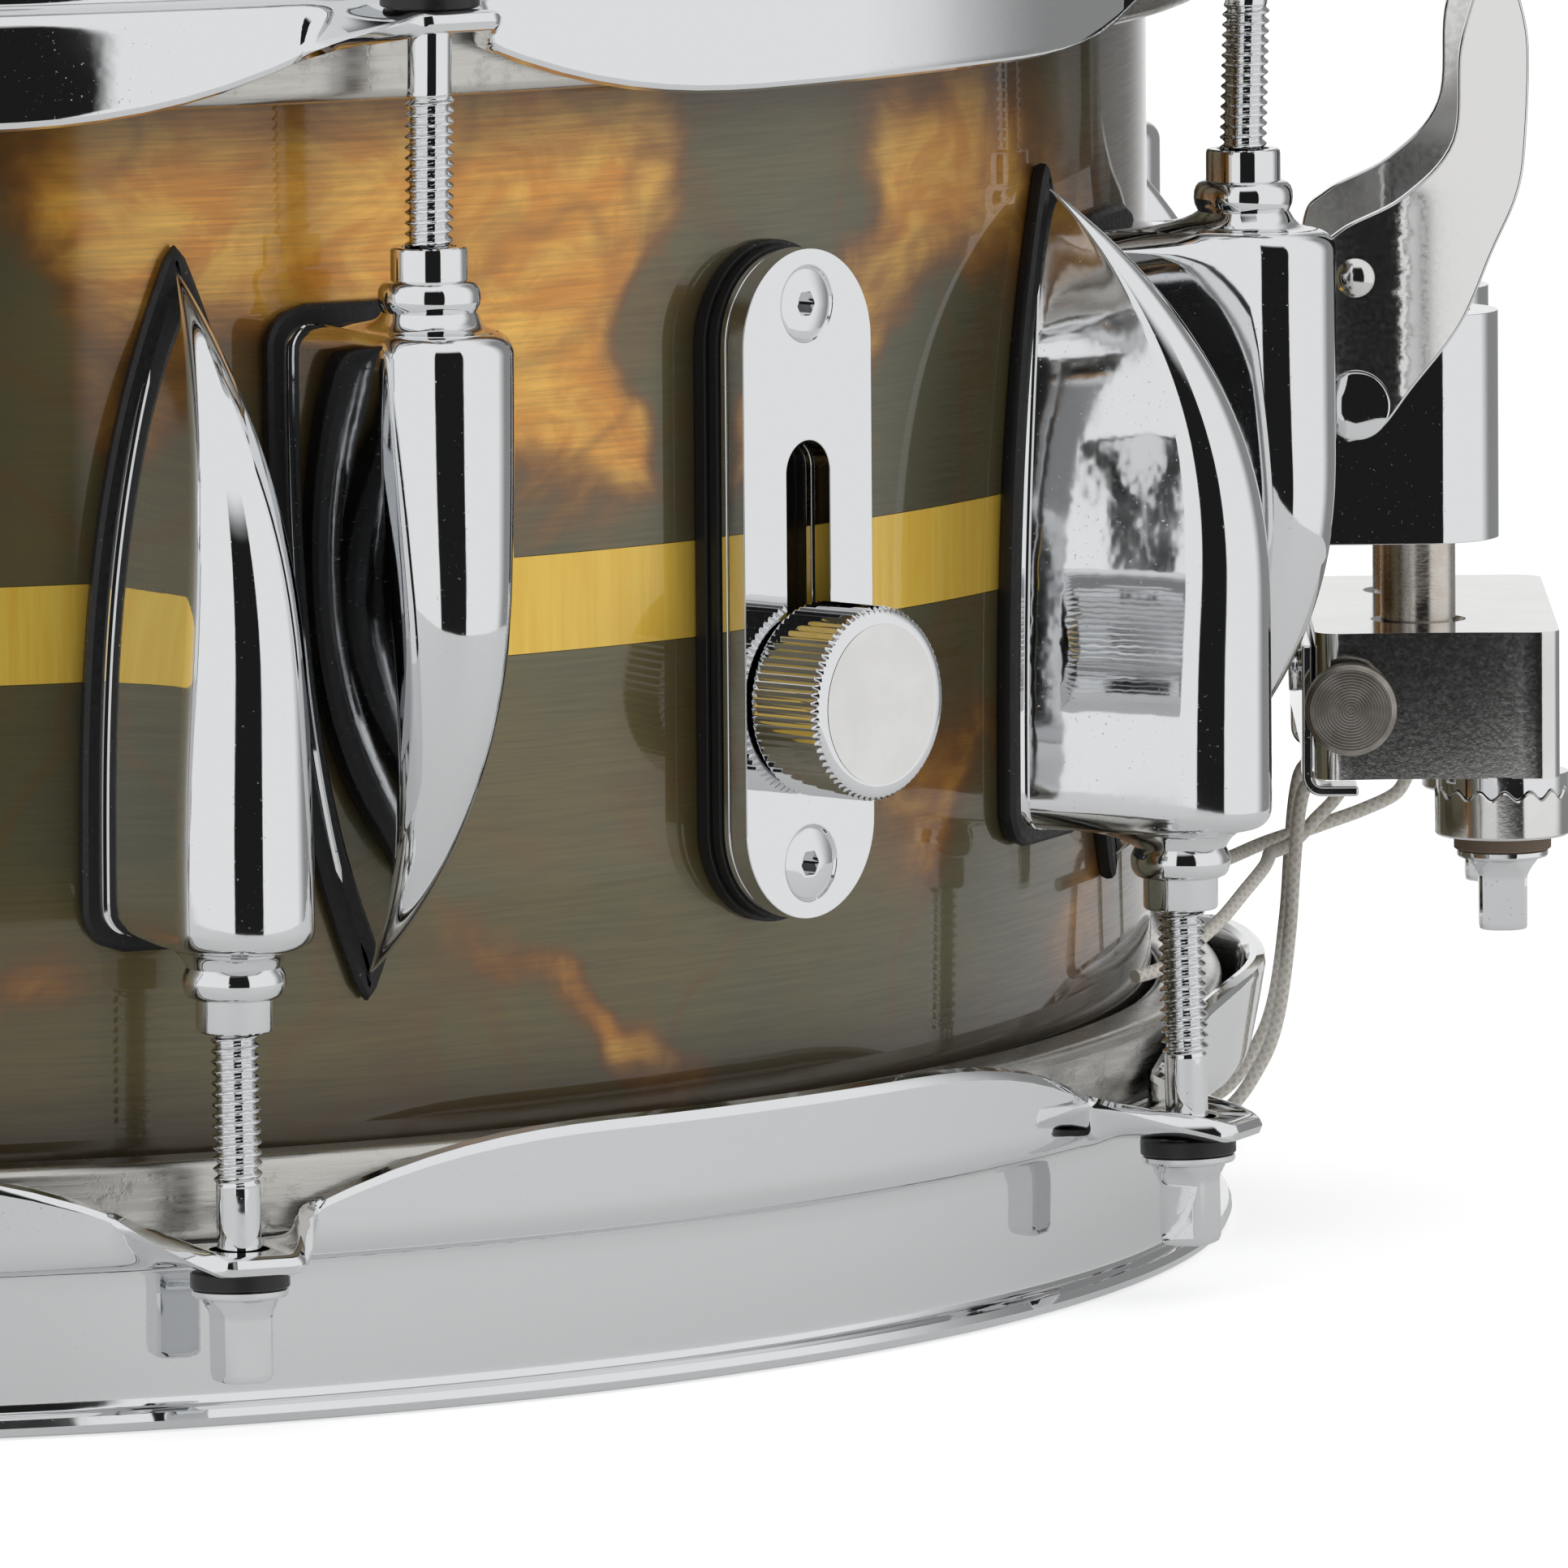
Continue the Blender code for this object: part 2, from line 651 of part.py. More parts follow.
def make_lever(chrome, steel, frame):
    """The horn-shaped lever: two side plates about the pivot, joined by the handle's web."""
    pivot = frame @ Matrix.Translation((PIVOT_X, 0, PIVOT_HEIGHT))
    outer, inner = lever_edges()
    far = LEVER_INNER + LEVER_PLATE
    lever_mesh = prism("strainer_lever", outer + inner, -far, -LEVER_INNER, axis="Y")
    lever = add_object("strainer_lever", lever_mesh, chrome, pivot)
    other = prism("lever_far_plate", outer + inner, LEVER_INNER, far, axis="Y")
    handle = outer[5:]
    web_outline = handle + [(a - LEVER_PLATE, b - 0.0006) for a, b in reversed(handle)]
    web = prism("lever_web", web_outline, -far + 0.0005, far - 0.0005, axis="Y")
    cut(lever, add_object("lever_web", web, matrix=pivot), "UNION")
    cut(lever, add_object("lever_far_plate", other, matrix=pivot), "UNION")
    hole = prism("lever_hole", circle(0.0, 0.0, PIN_BORE_RADIUS, 8), -0.04, 0.04, axis="Y")
    cut(lever, add_object("lever_hole", hole, matrix=pivot))
    end = far + GAP
    half = [(0.0, end + 0.0021), (PIN_HEAD_RADIUS - 0.0010, end + 0.0019), (PIN_HEAD_RADIUS, end + 0.0006)]
    half += [(PIN_HEAD_RADIUS, end), (PIN_RADIUS, end)]
    profile = half + [(r, -z) for r, z in reversed(half)]
    lie_down = Matrix.Rotation(math.pi / 2, 4, "X")
    add_object("lever_pin", lathe("lever_pin", profile, 12, closed=False), steel, pivot @ lie_down)


def make_carriage(chrome, steel, frame):
    """The block that rides on two posts, and its release button."""
    outline = rounded_rectangle(BLOCK_BACK, BLOCK_FRONT, -BLOCK_HALF_WIDTH, BLOCK_HALF_WIDTH, BLOCK_CORNER, 3)
    block_mesh = prism("strainer_block", outline, BLOCK_BOTTOM, BLOCK_TOP)
    block = add_object("strainer_block", block_mesh, chrome, frame)

    def ring(side):
        rim = circle(ADJUSTER_X, side * ADJUSTER_Y, DETENT_RADIUS, 12)
        return prism("detent_rings", rim, DETENT_BOTTOM, BLOCK_BOTTOM + 0.001)

    def bore(side):
        rim = circle(ADJUSTER_X, side * ADJUSTER_Y, SCREW_BORE_RADIUS, 8)
        return prism("screw_bores", rim, DETENT_BOTTOM - 0.002, ADJUSTER_TOP + 0.001)

    def seat(side):
        rim = circle(POST_X, side * POST_Y, POST_RADIUS + GAP, 12)
        return prism("post_seats", rim, BLOCK_TOP - POST_SEAT_DEPTH, BLOCK_TOP + 0.002)

    cut(block, add_object("detent_rings", both(ring), matrix=frame), "UNION")
    cut(block, add_object("screw_bores", both(bore), matrix=frame))
    cut(block, add_object("post_seats", both(seat), matrix=frame))
    front = -BLOCK_HALF_WIDTH
    hole = circle(BUTTON_X, BUTTON_HEIGHT, BUTTON_BORE_RADIUS, 12)
    hole_mesh = prism("button_bore", hole, front - 0.002, front + BUTTON_SEAT + 0.003, axis="Y")
    cut(block, add_object("button_bore", hole_mesh, matrix=frame))
    foot = BLOCK_TOP - POST_SEAT_DEPTH + GAP
    for name, side in (("guide_post_near", -1), ("guide_post_far", 1)):
        post = prism(name, circle(0.0, 0.0, POST_RADIUS, 12), 0.0, BASE_TOP - foot - 0.0080)
        add_object(name, post, steel, frame @ Matrix.Translation((POST_X, side * POST_Y, foot)))
    under = BUTTON_TRAVEL + GAP
    profile = [
        (0.0, -BUTTON_PROUD),
        (BUTTON_RADIUS, -BUTTON_PROUD),
        (BUTTON_RADIUS, -under),
        (BUTTON_NECK_RADIUS, -under),
        (BUTTON_NECK_RADIUS, BUTTON_SEAT),
        (0.0, BUTTON_SEAT),
    ]
    button = lathe("release_button", profile, 16, closed=False)
    place = Matrix.Translation((BUTTON_X, front, BUTTON_HEIGHT)) @ Matrix.Rotation(-math.pi / 2, 4, "X")
    add_object("release_button", button, steel, frame @ place)


def make_cord_clamp(chrome, frame):
    """The thin plate that grips the snare cords, with a tab at each end folded under the block."""
    back = CLAMP_FACE
    face = CLAMP_FACE + CLAMP_THICKNESS
    lip_top = CLAMP_LIP + CLAMP_THICKNESS
    outline = [
        (back, CLAMP_LIP),
        (CLAMP_LIP_REACH, CLAMP_LIP),
        (CLAMP_LIP_REACH, lip_top),
        (face, lip_top),
        (face, CLAMP_TOP),
        (back, CLAMP_TOP),
    ]
    clamp_mesh = prism("cord_clamp", outline, -CLAMP_HALF_WIDTH, CLAMP_HALF_WIDTH, axis="Y")
    clamp = add_object("cord_clamp", clamp_mesh, chrome, frame)
    reach = CLAMP_HALF_WIDTH - CLAMP_TAB
    notch = rectangle(back - 0.002, CLAMP_LIP_REACH + 0.002, CLAMP_LIP - 0.002, CLAMP_NOTCH)
    cut(clamp, add_object("clamp_notch", prism("clamp_notch", notch, -reach, reach, axis="Y"), matrix=frame))


def make_adjusters(chrome, frame):
    """The two fine adjusters under the block, each a detent wheel with its key-headed screw."""
    flange = ADJUSTER_FLANGE_BOTTOM
    sections = [
        rod_section(SCREW_RADIUS, ADJUSTER_TOP),
        rod_section(SCREW_RADIUS, WHEEL_TOP),
        rod_section(WHEEL_RADIUS, WHEEL_TOP),
        rod_section(WHEEL_RADIUS, WHEEL_BOTTOM),
        rod_section(FLANGE_RADIUS, WHEEL_BOTTOM),
        rod_section(FLANGE_RADIUS, flange),
        rod_section(KEY_HALF_WIDTH * 1.15, flange - 0.0004),
        rod_section(KEY_HALF_WIDTH, flange - 0.0020, square=True),
        rod_section(KEY_HALF_WIDTH, ADJUSTER_KEY_END, square=True),
    ]
    mesh = loft("adjuster", sections)
    for name, side in (("adjuster_near", -1), ("adjuster_far", 1)):
        add_object(name, mesh, chrome, frame @ Matrix.Translation((ADJUSTER_X, side * ADJUSTER_Y, 0)))


def make_snare_wires(steel, frame):
    """The snare wires: two end plates with the strands between them."""
    low = WIRE_TOP - WIRE_THICKNESS
    outline = rectangle(-WIRE_HALF_SPAN, WIRE_HALF_SPAN, -WIRE_HALF_WIDTH, WIRE_HALF_WIDTH)
    wires = add_object("snare_wires", prism("snare_wires", outline, low, WIRE_TOP), steel, frame)
    strands = round(2 * WIRE_HALF_WIDTH / WIRE_PITCH)
    span = WIRE_HALF_SPAN - END_PLATE
    gaps = []
    for k in range(1, strands):
        y = (k - strands / 2) * WIRE_PITCH
        slot = rectangle(-span, span, y - WIRE_GAP / 2, y + WIRE_GAP / 2)
        gaps.append(prism("wire_gaps", slot, low - 0.001, WIRE_TOP + 0.001))
    joined = join_meshes("wire_gaps", gaps, [Matrix.Identity(4)] * len(gaps))
    cut(wires, add_object("wire_gaps", joined, matrix=frame))


def between(a, b, c, d, t):
    """One coordinate of a Catmull-Rom curve, a share t of the way from b to c."""
    return 0.5 * (2 * b + (c - a) * t + (2 * a - 5 * b + 4 * c - d) * t**2 + (3 * b - a - 3 * c + d) * t**3)


def smooth_route(points):
    """Evenly spaced points along a Catmull-Rom curve through the route's own points."""
    padded = [points[0], *points, points[-1]]
    fine = []
    for a, b, c, d in zip(padded, padded[1:], padded[2:], padded[3:]):
        for k in range(24):
            t = k / 24
            fine.append(tuple(between(*four, t) for four in zip(a, b, c, d)))
    fine.append(points[-1])
    reach = [0.0]
    for p, q in zip(fine, fine[1:]):
        reach.append(reach[-1] + math.dist(p, q))
    count = round(reach[-1] / CORD_STEP) + 1
    route = []
    for k in range(count):
        wanted = reach[-1] * k / (count - 1)
        at = next(i for i in range(1, len(reach)) if reach[i] >= wanted - 1e-9)
        share = (wanted - reach[at - 1]) / (reach[at] - reach[at - 1])
        route.append(tuple(p + (q - p) * share for p, q in zip(fine[at - 1], fine[at])))
    return route


def make_cord(name, points, material, frame):
    """A braided cord as a round tube along its route."""
    curve = bpy.data.curves.new(name, "CURVE")
    curve.dimensions = "3D"
    curve.bevel_depth = CORD_RADIUS
    curve.bevel_resolution = 2
    curve.use_fill_caps = True
    route = smooth_route(points)
    spline = curve.splines.new("POLY")
    spline.points.add(len(route) - 1)
    for point, place in zip(spline.points, route):
        point.co = (*place, 1.0)
    curve.materials.append(material)
    cord = bpy.data.objects.new(name, curve)
    bpy.context.scene.collection.objects.link(cord)
    cord.parent = DRUM
    cord.matrix_local = frame


def make_cords(braid, frame):
    """The cords from the wires to both ends, and the two cut tails that hang under the block."""
    start = WIRE_HALF_SPAN + GAP
    for name, side in (("snare_cord_near", -1), ("snare_cord_far", 1)):
        route = [
            (start, side * 0.0090, 0.0106),
            (0.1780, side * 0.0090, 0.0104),
            (0.1858, side * 0.0090, 0.0126),
            (0.1902, side * 0.0090, 0.0182),
            (0.1924, side * 0.0090, 0.0241),
            (0.1938, side * 0.0090, 0.0339),
            (0.1944, side * 0.0090, 0.0420),
            (0.1951, side * 0.0090, 0.0489),
            (0.1962, side * 0.0090, 0.0520),
            (0.1992, side * 0.0090, 0.0535),
        ]
        make_cord(name, route, braid, frame)
    near = [
        (0.2003, -0.0058, 0.0510),
        (0.1990, -0.0058, 0.0492),
        (0.1969, -0.0058, 0.0471),
        (0.1951, -0.0058, 0.0451),
        (0.1934, -0.0064, 0.0440),
        (0.1916, -0.0090, 0.0436),
        (0.1912, -0.0160, 0.0439),
        (0.1904, -0.0250, 0.0438),
        (0.1882, -0.0310, 0.0420),
        (0.1844, -0.0370, 0.0385),
        (0.1785, -0.0455, 0.0349),
        (0.1747, -0.0500, 0.0341),
    ]
    make_cord("cord_tail_near", near, braid, frame)
    far = [
        (0.2083, 0.0030, 0.0515),
        (0.2068, 0.0020, 0.0493),
        (0.2029, 0.0006, 0.0476),
        (0.1989, -0.0012, 0.0464),
        (0.1959, -0.0022, 0.0455),
        (0.1938, -0.0028, 0.0450),
        (0.1908, -0.0044, 0.0442),
        (0.1875, -0.0090, 0.0434),
        (0.1846, -0.0170, 0.0432),
        (0.1826, -0.0280, 0.0434),
        (0.1810, -0.0400, 0.0436),
        (0.1785, -0.0490, 0.0438),
    ]
    make_cord("cord_tail_far", far, braid, frame)
    middle = (BUTT_FRONT + BUTT_CLAMP_BACK) / 2
    up = [
        (-start, -0.0090, 0.0106),
        (-0.1780, -0.0090, 0.0104),
        (-0.1860, -0.0090, 0.0126),
        (-0.1908, -0.0090, 0.0180),
        (-middle + 0.0002, -0.0090, 0.0250),
        (-middle, -0.0090, 0.0340),
        (-middle, -0.0088, 0.0440),
        (-middle, -0.0064, 0.0506),
    ]
    down = [(x, -y, z) for x, y, z in reversed(up)]
    make_cord("butt_cord", up + [(-middle, 0.0, 0.0532)] + down, braid, frame)


def make_butt(chrome, frame):
    """The fixed end: a plate on the shell and the clamp that holds the cord's loop."""
    half = BUTT_HALF_WIDTH
    outline = rounded_rectangle(-half, half, BUTT_BOTTOM, BUTT_TOP, 0.006)
    add_object("butt_plate", prism("butt_plate", outline, -BUTT_FRONT, -BASE_BACK, axis="X"), chrome, frame)
    face = rounded_rectangle(-half + 0.004, half - 0.004, BUTT_BOTTOM + 0.003, BUTT_TOP - 0.004, 0.004)
    clamp = prism("butt_clamp", face, -BUTT_CLAMP_FRONT, -BUTT_CLAMP_BACK, axis="X")
    add_object("butt_clamp", clamp, chrome, frame)


def make_muffler(chrome, felt, steel):
    """The muffler: a slotted plate on the shell, a sliding knob, and a felt pad on an arm inside."""
    frame = station(MUFFLER_ANGLE)
    centre = MID_HEIGHT
    outline = rounded_rectangle(
        -PLATE_HALF_WIDTH,
        PLATE_HALF_WIDTH,
        centre - PLATE_HALF_HEIGHT,
        centre + PLATE_HALF_HEIGHT,
        PLATE_HALF_WIDTH - 0.0001,
    )
    plate_mesh = prism("muffler_plate", outline, PLATE_BACK, PLATE_FACE, axis="X")
    plate = add_object("muffler_plate", plate_mesh, chrome, frame)
    slot = rounded_rectangle(
        -SLOT_HALF_WIDTH,
        SLOT_HALF_WIDTH,
        centre - SLOT_HALF_HEIGHT,
        centre + SLOT_HALF_HEIGHT,
        SLOT_HALF_WIDTH - 0.0001,
    )
    slot_mesh = prism("plate_slot", slot, PLATE_BACK - 0.001, PLATE_FACE + 0.001, axis="X")
    cut(plate, add_object("plate_slot", slot_mesh, matrix=frame))
    seat = PLATE_FACE + GAP
    knob_frame = frame @ Matrix.Translation((seat, 0, KNOB_HEIGHT)) @ Matrix.Rotation(math.pi / 2, 4, "Y")
    stem_end = ARM_FRONT - ARM_THICKNESS - 0.002 - seat
    profile = [
        (0.0, KNOB_LENGTH),
        (KNOB_RADIUS - 0.0005, KNOB_LENGTH),
        (KNOB_RADIUS, KNOB_LENGTH - 0.0005),
        (KNOB_RADIUS, 0.0005),
        (KNOB_RADIUS - 0.0005, 0.0),
        (KNOB_STEM_RADIUS, 0.0),
        (KNOB_STEM_RADIUS, stem_end),
        (0.0, stem_end),
    ]
    add_object("muffler_knob", lathe("muffler_knob", profile, 24, closed=False), chrome, knob_frame)
    back = ARM_FRONT - ARM_THICKNESS
    side = [
        (back, ARM_FOOT),
        (ARM_FRONT, ARM_FOOT),
        (ARM_FRONT, SHELF_TOP),
        (ARM_FRONT - SHELF_REACH, SHELF_TOP),
        (ARM_FRONT - SHELF_REACH, SHELF_TOP - ARM_THICKNESS),
        (back, SHELF_TOP - ARM_THICKNESS),
    ]
    knob_base = Matrix.Translation((0, 0, KNOB_HEIGHT))
    lowered = [(x, z - KNOB_HEIGHT) for x, z in side]
    arm_mesh = prism("muffler_arm", lowered, -ARM_HALF_WIDTH, ARM_HALF_WIDTH, axis="Y")
    arm = add_object("muffler_arm", arm_mesh, steel, frame @ knob_base)
    rim = circle(0.0, 0.0, KNOB_STEM_RADIUS + GAP)
    hole = prism("arm_hole", rim, back - 0.001, ARM_FRONT + 0.001, axis="X")
    cut(arm, add_object("arm_hole", hole, matrix=frame @ knob_base))
    pad = prism("muffler_pad", circle(PAD_CENTRE, 0.0, PAD_RADIUS), SHELF_TOP + GAP, PAD_TOP)
    pad.transform(Matrix.Translation((0, 0, -KNOB_HEIGHT)))
    add_object("muffler_pad", pad, felt, frame @ knob_base)


clear_scene()
DRUM = bpy.data.objects.new("drum", None)
bpy.context.scene.collection.objects.link(DRUM)
DRUM.location = (0.0, 0.0, -BATTER_FACE)

patina_brass = make_material("patina_brass", (0.42, 0.25, 0.10), 0.25, 1.0)
bright_brass = make_material("bright_brass", (0.83, 0.62, 0.22), 0.30, 1.0)
chrome_plate = make_material("chrome", (0.82, 0.83, 0.84), 0.07, 1.0)
nickel_steel = make_material("nickel_steel", (0.62, 0.58, 0.52), 0.22, 1.0)
coated_film = make_material("coated_film", (0.88, 0.87, 0.84), 0.60, 0.0)
clear_film = make_material("clear_film", (0.80, 0.80, 0.78), 0.30, 0.0)
cream_braid = make_material("cream_braid", (0.80, 0.76, 0.68), 0.85, 0.0)
grey_felt = make_material("grey_felt", (0.35, 0.34, 0.33), 0.95, 0.0)

make_shell(patina_brass, bright_brass)
make_heads(coated_film, clear_film)
make_hoop("snare", chrome_plate)
make_hoop("batter", chrome_plate)
make_lugs(chrome_plate)
make_rods(chrome_plate)
throw_off = station(STRAINER_ANGLE)
make_strainer_base(chrome_plate, throw_off)
make_lever(chrome_plate, nickel_steel, throw_off)
make_carriage(chrome_plate, nickel_steel, throw_off)
make_cord_clamp(chrome_plate, throw_off)
make_adjusters(chrome_plate, throw_off)
make_snare_wires(nickel_steel, throw_off)
make_cords(cream_braid, throw_off)
make_butt(chrome_plate, throw_off)
make_muffler(chrome_plate, grey_felt, nickel_steel)
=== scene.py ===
import math

import bmesh
import bpy
from mathutils import Matrix, Vector


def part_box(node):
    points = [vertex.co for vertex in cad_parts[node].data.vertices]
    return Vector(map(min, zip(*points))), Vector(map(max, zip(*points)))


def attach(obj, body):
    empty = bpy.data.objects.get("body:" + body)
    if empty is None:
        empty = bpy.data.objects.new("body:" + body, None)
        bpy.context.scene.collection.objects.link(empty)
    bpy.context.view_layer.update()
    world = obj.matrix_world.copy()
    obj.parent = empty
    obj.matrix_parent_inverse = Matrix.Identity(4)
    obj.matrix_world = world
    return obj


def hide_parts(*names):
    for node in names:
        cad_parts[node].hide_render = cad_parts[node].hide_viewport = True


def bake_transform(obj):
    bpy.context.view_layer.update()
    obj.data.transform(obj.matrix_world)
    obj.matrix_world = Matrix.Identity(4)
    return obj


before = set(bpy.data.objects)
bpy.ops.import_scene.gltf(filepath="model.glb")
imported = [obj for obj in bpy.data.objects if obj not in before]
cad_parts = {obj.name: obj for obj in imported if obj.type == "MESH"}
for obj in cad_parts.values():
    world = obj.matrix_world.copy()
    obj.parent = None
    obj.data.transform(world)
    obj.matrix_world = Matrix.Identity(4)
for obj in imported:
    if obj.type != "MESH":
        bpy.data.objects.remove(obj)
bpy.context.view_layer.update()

# Heights are measured from the plane that the drum stands on, as in the design.
BASE_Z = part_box("snare_hoop")[0].z
DRUM_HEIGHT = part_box("batter_hoop")[1].z - BASE_Z
MID_HEIGHT = DRUM_HEIGHT / 2
LIFT = Matrix.Translation((0, 0, BASE_Z))

# Shell and heads
SHELL_RADIUS = 0.1775
SHELL_WALL = 0.0020
HOOP_OVERHANG = 0.0122
EDGE_FLANGE = 0.0022
BAND_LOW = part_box("inlay_band")[0].z - BASE_Z
BAND_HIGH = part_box("inlay_band")[1].z - BASE_Z
BAND_DEPTH = 0.0006
GAP = 0.0003
FILM = 0.0004
FILM_COLLAR_RADIUS = 0.1783
FLESH_OUTER_RADIUS = 0.1859
FLESH_FOOT = 0.0206
FLESH_TOP = 0.0300

# Hoops
SHEET = 0.0023
LIP_RADIUS = 0.1870
WALL_RADIUS = 0.1846
SKIRT_RADIUS = 0.1890
STEP_HEIGHT = 0.0180
EAR_TOP = 0.0212
SKIRT_RISE = 0.0103
SKIRT_REACH_DEG = 16.0
SKIRT_POWER = 2.5
EAR_FLAT_DEG = 1.2
EAR_RADIUS = 0.2038
EAR_NARROW = 0.0035
EAR_WIDE = 0.0125
EAR_LEAN = 0.0040
EAR_HOLE_RADIUS = 0.0034
GATE_HALF_DEG = 8.5
GATE_BOTTOM = 0.0035
GATE_TOP = 0.0168
GATE_BULGE = 0.0022
GATE_BULGE_DEG = 14.0

# Lugs and rods
PAIR_ANGLE = 45.0
FIRST_PAIR_ANGLE = 22.5
LUG_SPLIT = 3.6
LUG_BACK = 0.1781
LUG_FOOT = 0.0022
LUG_TIP = 0.1290
LUG_STRAIGHT_TOP = 0.0804
LUG_SHELF = 0.0548
LUG_NOSE = 0.2060
LUG_HALF = 0.0080
LUG_FOOT_HALF = 0.0100
LUG_CURVE_POWER = 2.34
LUG_TAPER_POWER = 2.5
LUG_ROUND = 0.0024
LUG_CORNER = 0.0030
GASKET_CORNER = 0.0040
LUG_DISH = 0.00025
ROD_CIRCLE_RADIUS = 0.1952
NUT_END = 0.0454
ROD_SPLAY = 1.56
THREAD_RADIUS = 0.00275
THREAD_PITCH = 0.00119
THREAD_DEPTH = 0.00055
SHANK_RADIUS = 0.00246
KEY_HALF = 0.00282
ROD_SIDES = 48
THREAD_END = -0.0172
FLANGE_TOP = -0.0285
KEY_LENGTH = 0.0106
THREAD_TOP = 0.0012

# Throw-off, in its own frame: X out from the shell, Y round it
STRAINER_ANGLE = 87.0
POST_X = 0.2090
POST_Y = 0.0160
POST_RADIUS = 0.00443
ADJUSTER_X = 0.2186
ADJUSTER_Y = 0.0240
PIVOT_X = 0.2014
PIVOT_HEIGHT = 0.0989
LEVER_INNER = 0.0262
LEVER_PLATE = 0.0020
LEVER_TOP = 0.1500
BASE_BACK = 0.1782
HOUSING_LOW = 0.0820
HOUSING_HIGH = 0.1089
TUBE_RADIUS = 0.0096
BLOCK_LOW = 0.0549
BLOCK_HIGH = 0.0722
BLOCK_BACK = 0.1964
BLOCK_FRONT = 0.2252
BLOCK_HALF = 0.0320
BLOCK_SINK = 0.00060
BUTTON_X = 0.2004
BUTTON_HEIGHT = 0.0638
BUTTON_RADIUS = 0.0054
BUTTON_PROUD = 0.0060
DETENTS = 16
DETENT_DEPTH = 0.00050
WAVE_STEPS = 192
CLAMP_BACK = 0.1949
CLAMP_THICKNESS = 0.0012
PIN_RADIUS = 0.0028

# Snare wires and cords
CORD_RADIUS = 0.00082
WIRE_HALF_SPAN = 0.1660
WIRE_HALF_WIDTH = 0.0209
WIRE_TOP = 0.0116
WIRE_THICKNESS = 0.0020
END_PLATE = 0.0130
STRANDS = 20

# Muffler
MUFFLER_ANGLE = 45.0
PLATE_HALF_WIDTH = 0.01085
PLATE_HALF_HEIGHT = 0.0381
PLATE_FACE = 0.1841
SLOT_HALF_WIDTH = 0.00365
SLOT_HALF_HEIGHT = 0.0163
KNOB_HEIGHT = 0.0755
KNOB_RADIUS = 0.01105
KNOB_LENGTH = 0.0105
KNOB_STEM = 0.0030
KNOB_TOOTH = 0.00042
SCREW_RISE = 0.03180
ARM_BACK = 0.1692
ARM_FRONT = 0.1718

# Studio
CAMERA_LENS = 484.8
CAMERA_PAN_DEG = -3.071
CAMERA_TILT_DEG = 90 - 6.678
CAMERA_ROLL_DEG = -0.446
CAMERA_BACK = -2.50005
CAMERA_RISE = 0.343555
FLOOR_RADIUS = 0.50
GAP_START_DEG = -14.0
GAP_END_DEG = 32.0
STUDIO_LIGHT = 0.88
BACK_DIM = 0.30


# ---------------------------------------------------------------- places

def station(angle):
    """The frame at an angle round the drum, at floor height: X points out from the axis, Y runs round."""
    return LIFT @ Matrix.Rotation(math.radians(angle - 90), 4, "Z")


def turned_over():
    """Half a turn about the X axis at mid height: the snare side's shapes, moved to the batter side."""
    lift = Matrix.Translation((0, 0, MID_HEIGHT))
    return lift @ Matrix.Rotation(math.pi, 4, "X") @ lift.inverted()


def lug_angles(side):
    """The eight angles of one side's lugs; the other side's stand beside them."""
    split = -LUG_SPLIT if side == "snare" else LUG_SPLIT
    return [FIRST_PAIR_ANGLE + PAIR_ANGLE * k + split for k in range(8)]


def side_frame(side, angle):
    """The frame that a lug or a rod of either side is drawn in, at its angle."""
    flip = turned_over() if side == "batter" else Matrix.Identity(4)
    return station(angle) @ flip


def rod_axis():
    """The rod's own frame under a station: origin at the nut's end, Z up along the rod."""
    lean = Matrix.Rotation(math.radians(-ROD_SPLAY), 4, "Y")
    return Matrix.Translation((ROD_CIRCLE_RADIUS, 0, NUT_END)) @ lean


def shift(x, y, z):
    return Matrix.Translation((x, y, z))


def quarter(axis, sign=1):
    """A quarter turn about an axis."""
    return Matrix.Rotation(sign * math.pi / 2, 4, axis)


THROW = station(STRAINER_ANGLE)
MUFFLER = station(MUFFLER_ANGLE)


# ---------------------------------------------------------------- camera

def make_camera():
    """A long lens, 2.5 m in front of the drum and a little above it."""
    data = bpy.data.cameras.new("camera")
    data.sensor_width = 36.0
    data.lens = CAMERA_LENS
    data.clip_start = 0.1
    data.clip_end = 30.0
    camera = bpy.data.objects.new("camera", data)
    bpy.context.scene.collection.objects.link(camera)
    pan = Matrix.Rotation(math.radians(CAMERA_PAN_DEG), 4, "Z")
    tilt = Matrix.Rotation(math.radians(CAMERA_TILT_DEG), 4, "X")
    roll = Matrix.Rotation(math.radians(CAMERA_ROLL_DEG), 4, "Z")
    camera.matrix_world = shift(0, CAMERA_BACK, BASE_Z + CAMERA_RISE) @ pan @ tilt @ roll
    bpy.context.scene.camera = camera


# ---------------------------------------------------------------- material nodes

